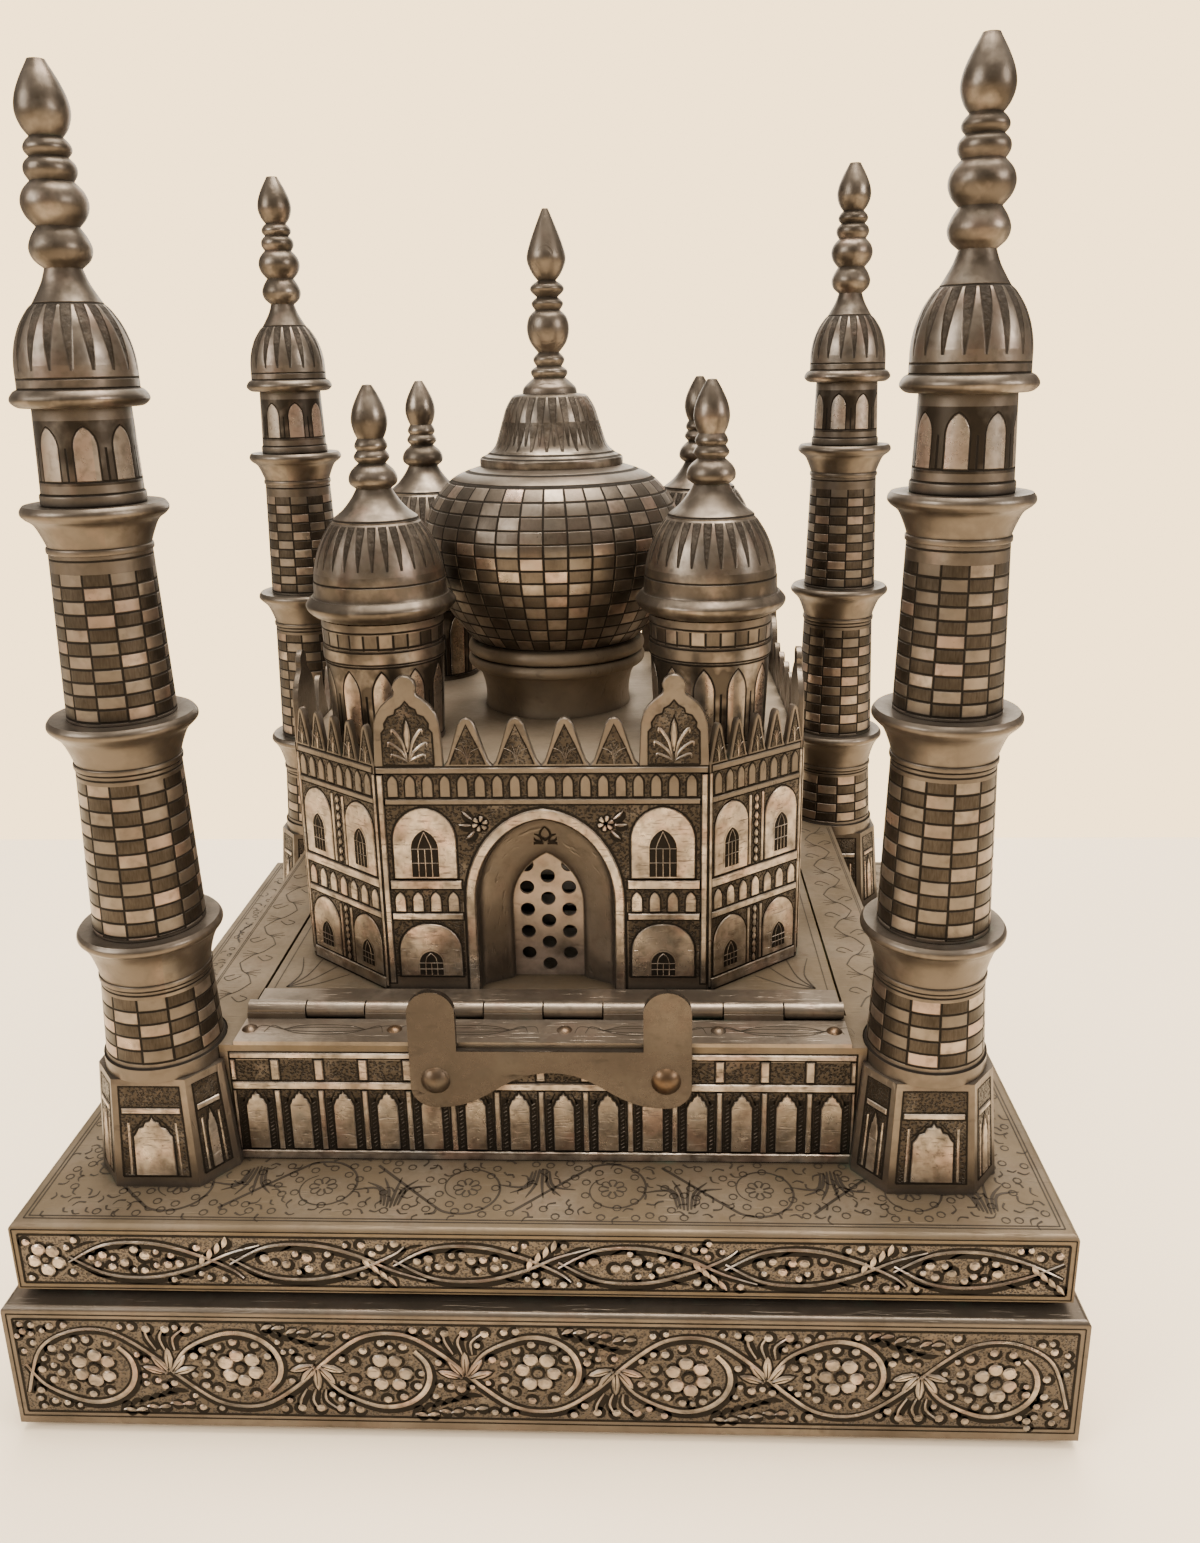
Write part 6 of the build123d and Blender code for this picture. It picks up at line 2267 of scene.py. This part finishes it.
    def lid(self) -> None:
        """Dress the lid plate, its leaf and the roof, and engrave the lid's corners."""
        levels = self.levels
        grille = Plating(worn=(0.30, 0.235, 0.19), metal=0.6, grime_and_shade=0.15)
        dress_node("lid_plate", self.finishes.dusty, 0.2)
        # The roof takes the dusty plate lightened with painted light.
        dress_node("roof_plate", self.finishes.painted_lit_dusty, 0.2)
        dress_node("lid_hinge_leaf", self.finishes.hinge, 0.15)
        dress_node("portal_grilles", PlainPlate("grille_plate", grille, 0.8).make(), 0.1)
        half = levels.lid_half
        edges = [[(-half, y), (half, y)] for y in (levels.lid_front, levels.lid_back)]
        relief = Relief(Panel.between(*edges, levels.rim, levels.rim))
        depth = levels.lid_back - levels.lid_front
        for side in (-1, 1):
            for low, up in ((10.0, 1), (depth - 2.0, -1)):
                root = (side * (half - 4.0), low)
                for lean in (0.0, 0.35, 0.75, 1.15):
                    bent = lean + 0.3
                    tip = (root[0] - side * 13.0 * math.sin(lean), root[1] + up * 13.0 * math.cos(lean))
                    bend = (root[0] - side * 5.0 * math.sin(bent), root[1] + up * 6.0 * math.cos(bent))
                    relief.stroke(smooth([root, bend, tip], 5), 0.4, 0.12)
            relief.stroke([(side * (half - 1.6), 9.0), (side * (half - 1.6), depth - 2.0)], 0.18, 0.18)
        relief.build("lid_engraving", "lid", self.finishes.fine)

    def dome(self) -> None:
        """Build the drum, the chequered bulb, the lotus cap and the finial."""
        axis = (0.0, self.levels.hall_y)
        roof = self.levels.roof
        low = roof + 15.5
        top = low + 38.1
        drum = chained(
            roof, (15.0, 0.0),
            [(16.6, 0.0)],
            [(16.4, 2.2), (16.6, 4.8), (17.2, 7.2), (18.1, 8.8), (18.5, 9.3)],
            [(19.6, 9.7), (20.1, 10.8), (19.7, 11.9), (18.9, 12.3)],
            [(19.7, 12.7), (20.0, 13.8), (19.5, 15.0), (18.6, 15.5)],
        )
        bulb = chained(low, (18.6, 0.0), [
            (21.5, 3.4), (24.7, 8.4), (27.5, 14.9), (28.8, 21.3), (28.5, 25.0), (27.4, 28.2),
            (25.0, 32.3), (21.1, 35.9), (15.5, 38.0),
        ])
        lotus = chained(
            top, (15.4, -0.6),
            [(15.6, 0.0), (15.6, 1.3), (15.3, 1.7)],
            [(13.7, 2.6), (12.2, 4.2), (11.2, 7.0), (10.4, 9.6), (9.6, 12.0), (8.4, 14.0), (7.6, 14.7)],
            [(5.6, 15.0)],
        )
        finial = chained(
            top + 15.0, (5.9, 0.0),
            [(5.6, 1.2), (4.4, 2.4), (3.4, 3.2)],
            [(3.9, 4.0), (3.8, 4.8), (2.7, 5.6)],
            [(3.3, 6.6), (3.2, 7.4), (2.25, 8.4)],
            [(3.9, 10.6), (4.5, 13.2), (4.0, 15.6), (2.65, 17.0)],
            [(3.3, 18.0), (3.2, 18.7), (2.2, 19.6)],
            [(3.5, 20.9), (3.3, 21.9), (1.9, 22.9)],
            [(3.2, 24.6), (4.1, 27.2), (3.4, 30.2), (2.0, 33.8), (0.8, 36.6), (0.6, 37.0)],
            [(0.02, 37.0)],
        )
        tiles = Chequer(
            "chequered_dome", axis, 36, 26.0, ((low + 0.6, low + 35.2, 13),),
            (low + 0.3, low + 35.2, low + 37.0), shine=0.15, contrast=0.6, glow=1.5,
        ).make()
        petals = Flutes(
            "lotus_petals", axis, 24, top + 4.2, top + 14.3, 11.0, (top + 1.8, top + 2.6),
            mirrored=False, shine=0.3, second=True, depth=0.62,
        ).make()
        # The drum takes the dusty plate lightened with painted light.
        Turned(drum, 128).skin("dome_drum", "lid", axis, self.finishes.painted_lit_dusty)
        Turned(bulb, 128).skin("main_dome", "lid", axis, tiles)
        Turned(lotus).skin("dome_lotus_cap", "lid", axis, petals, "polished_plate")
        Turned(finial, 64).skin("dome_finial", "lid", axis, self.finishes.plate, "polished_plate")

    def kiosks(self) -> None:
        """Build the four corner kiosks."""
        roof = self.levels.roof
        x, offset = self.levels.kiosk
        y = self.levels.hall_y
        top = roof + 26.0
        arcade = Chequer(
            "kiosk_arcade", (x, offset), 26, 11.8, ((roof + 20.9, roof + 24.0, 1),),
            (roof + 1.2, roof + 17.4, roof + 18.0, roof + 20.5, roof + 24.4), True,
            (roof + 1.2, roof + 11.6, roof + 16.6, 11), 0.5, 0.6, 0.55, back=y,
        ).make()
        bell = Flutes(
            "kiosk_petals", (x, offset), 28, top + 10.4, top + 18.8, 10.5,
            (top + 7.6, top + 19.6), shift=y,
        ).make()
        drum = Turned(chained(
            roof, (9.9, 0.0),
            [(11.5, 0.0)],
            [(11.4, 1.2)],
            [(12.1, 17.8)],
            [(12.35, 17.9), (12.4, 20.5), (12.2, 20.6)],
            [(12.4, 26.0)],
        ), 80)
        cap = Turned(chained(
            top, (11.6, 0.0),
            [(13.2, 0.5), (14.6, 1.6), (15.1, 2.6), (14.9, 3.3), (13.9, 4.4)],
            [(13.4, 4.7), (13.3, 7.4), (13.2, 7.6)],
            [(13.0, 9.6), (12.3, 12.6), (11.1, 15.6), (9.5, 18.2), (8.6, 19.2)],
            [(8.4, 19.8), (6.4, 21.4), (4.6, 23.6), (3.5, 25.5)],
            [(4.6, 26.4), (4.8, 27.6), (4.2, 29.0), (2.7, 30.4)],
            [(3.4, 31.2), (3.45, 31.9), (2.8, 32.9)],
            [(3.2, 33.5), (3.15, 34.2), (2.6, 35.2)],
            [(3.2, 36.6), (3.55, 38.6), (3.1, 41.0), (1.9, 43.6), (0.9, 45.3)],
            [(0.02, 45.4)],
        ), 80)
        for name, (side_x, side_y) in PLACES.items():
            axis = (side_x * x, y + side_y * offset)
            drum.skin("kiosk_" + name + "_drum", "lid", axis, arcade)
            cap.skin("kiosk_" + name + "_cap", "lid", axis, bell, "polished_plate")


@dataclass
class Movement:
    """The compartment and the works below it."""

    finishes: Finishes

    def build(self) -> None:
        """Dress the CAD nodes of the movement."""
        brass = Brass("movement_brass").make()
        sheet = Brass("tray_brass", (0.50, 0.38, 0.20), 0.42).make()
        steel = Steel("movement_steel").make()
        dress_node("compartment_tray", sheet, 0.2)
        for node in ("key_well", "bedplate", "spring_barrel", "tune_cylinder"):
            dress_node(node, brass)
        for node in ("bedplate_screws", "comb", "comb_screws", "winding_arbor", "stop_rod", "fly"):
            dress_node(node, steel)
        dress_node("winding_key", steel, 0.3)


@dataclass
class Studio:
    """The pale table, the soft light and the camera."""

    place: tuple[float, float, float] = (20.8, -262.0, 192.3)
    yaw: float = -2.387
    pitch: float = 16.284
    roll: float = -1.008
    lens: float = 28.005
    shift: float = -0.0364

    def build(self) -> None:
        """Set the table, the lights and the camera."""
        self.table()
        self.lights()
        self.camera()

    @staticmethod
    def table() -> None:
        """Lay a plain pale table top."""
        mesh = bpy.data.meshes.new("table_top")
        x, near, far = 3.0, -3.0, 0.21
        mesh.from_pydata([(-x, near, 0), (x, near, 0), (x, far, 0), (-x, far, 0)], [], [(0, 1, 2, 3)])
        table = bpy.data.objects.new("table_top", mesh)
        bpy.context.scene.collection.objects.link(table)
        finish = Finish("pale_table")
        tone = finish.blend((1.0, 0.85, 0.64), (0.98, 0.83, 0.62), finish.cloud(80.0, 2.0))
        finish.surface(tone, 0.0, 0.55, 0.0)
        mesh.materials.append(finish.material)
        table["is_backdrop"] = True

    @staticmethod
    def lights() -> None:
        """Set a cream surround and large soft lights."""
        world = bpy.data.worlds.new("cream_room")
        bpy.context.scene.world = world
        world.use_nodes = True
        tree = world.node_tree
        background = tree.nodes["Background"]
        seen = tree.nodes.new("ShaderNodeBackground")
        seen.inputs[0].default_value = (1.0, 0.72, 0.385, 1.0)
        seen.inputs[1].default_value = 4.0
        place = tree.nodes.new("ShaderNodeTexCoord")
        split = tree.nodes.new("ShaderNodeSeparateXYZ")
        tree.links.new(place.outputs["Generated"], split.inputs[0])
        ramp = tree.nodes.new("ShaderNodeValToRGB")
        ramp.color_ramp.elements[0].position = 0.0
        ramp.color_ramp.elements[0].color = (0.62, 0.52, 0.41, 1.0)
        ramp.color_ramp.elements[1].position = 0.9
        ramp.color_ramp.elements[1].color = (1.25, 1.12, 0.95, 1.0)
        middle = ramp.color_ramp.elements.new(0.28)
        middle.color = (0.17, 0.14, 0.11, 1.0)
        tree.links.new(split.outputs[2], ramp.inputs[0])
        tree.links.new(ramp.outputs[0], background.inputs[0])
        background.inputs[1].default_value = 1.0
        path = tree.nodes.new("ShaderNodeLightPath")
        mix = tree.nodes.new("ShaderNodeMixShader")
        tree.links.new(path.outputs["Is Camera Ray"], mix.inputs[0])
        tree.links.new(background.outputs[0], mix.inputs[1])
        tree.links.new(seen.outputs[0], mix.inputs[2])
        tree.links.new(mix.outputs[0], tree.nodes["World Output"].inputs[0])
        lamps = (
            ("window_left", (-0.75, -0.55, 0.55), 0.5, 9.0, (1.0, 0.95, 0.88)),
            ("ceiling", (0.1, 0.1, 1.3), 0.9, 43.0, (1.0, 0.91, 0.79)),
            ("window_right", (0.85, -0.45, 0.5), 0.35, 7.0, (1.0, 0.92, 0.85)),
            ("wall_behind", (0.0, 1.0, 0.5), 1.0, 10.0, (1.0, 0.90, 0.76)),
        )
        for name, where, size, power, tone in lamps:
            data = bpy.data.lights.new(name, "AREA")
            data.size = size
            data.energy = power
            data.color = tone
            lamp = bpy.data.objects.new(name, data)
            lamp.location = where
            aim = Vector((0.0, 0.0, 0.1)) - Vector(where)
            lamp.rotation_euler = aim.to_track_quat("-Z", "Y").to_euler()
            bpy.context.scene.collection.objects.link(lamp)

    def camera(self) -> None:
        """Set the camera where the photograph was taken from."""
        yaw, pitch, roll = (math.radians(angle) for angle in (self.yaw, self.pitch, self.roll))
        ahead = Vector((
            math.sin(yaw) * math.cos(pitch), math.cos(yaw) * math.cos(pitch), -math.sin(pitch)
        ))
        level = Vector((math.cos(yaw), -math.sin(yaw), 0.0))
        above = level.cross(ahead)
        right = level * math.cos(roll) + above * math.sin(roll)
        up = above * math.cos(roll) - level * math.sin(roll)
        data = bpy.data.cameras.new("camera")
        data.sensor_width = 36.0
        data.lens = self.lens
        data.shift_y = self.shift
        data.clip_start = 0.01
        camera = bpy.data.objects.new("camera", data)
        turn = Matrix((right, up, -ahead)).transposed().to_4x4()
        camera.matrix_world = Matrix.Translation(Vector(self.place) * MM) @ turn
        bpy.context.scene.collection.objects.link(camera)
        bpy.context.scene.camera = camera


def main() -> None:
    """Build the whole picture."""
    logging.basicConfig(level=logging.INFO)
    finishes = Finishes()
    for assembly in (Base, Platform, Minarets, Hall, Movement):
        assembly(finishes).build()
    Studio().build()
    boxes = [[[float(value) for value in corner] for corner in box] for box in (cad_box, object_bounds())]


if __name__ == "__main__":
    main()
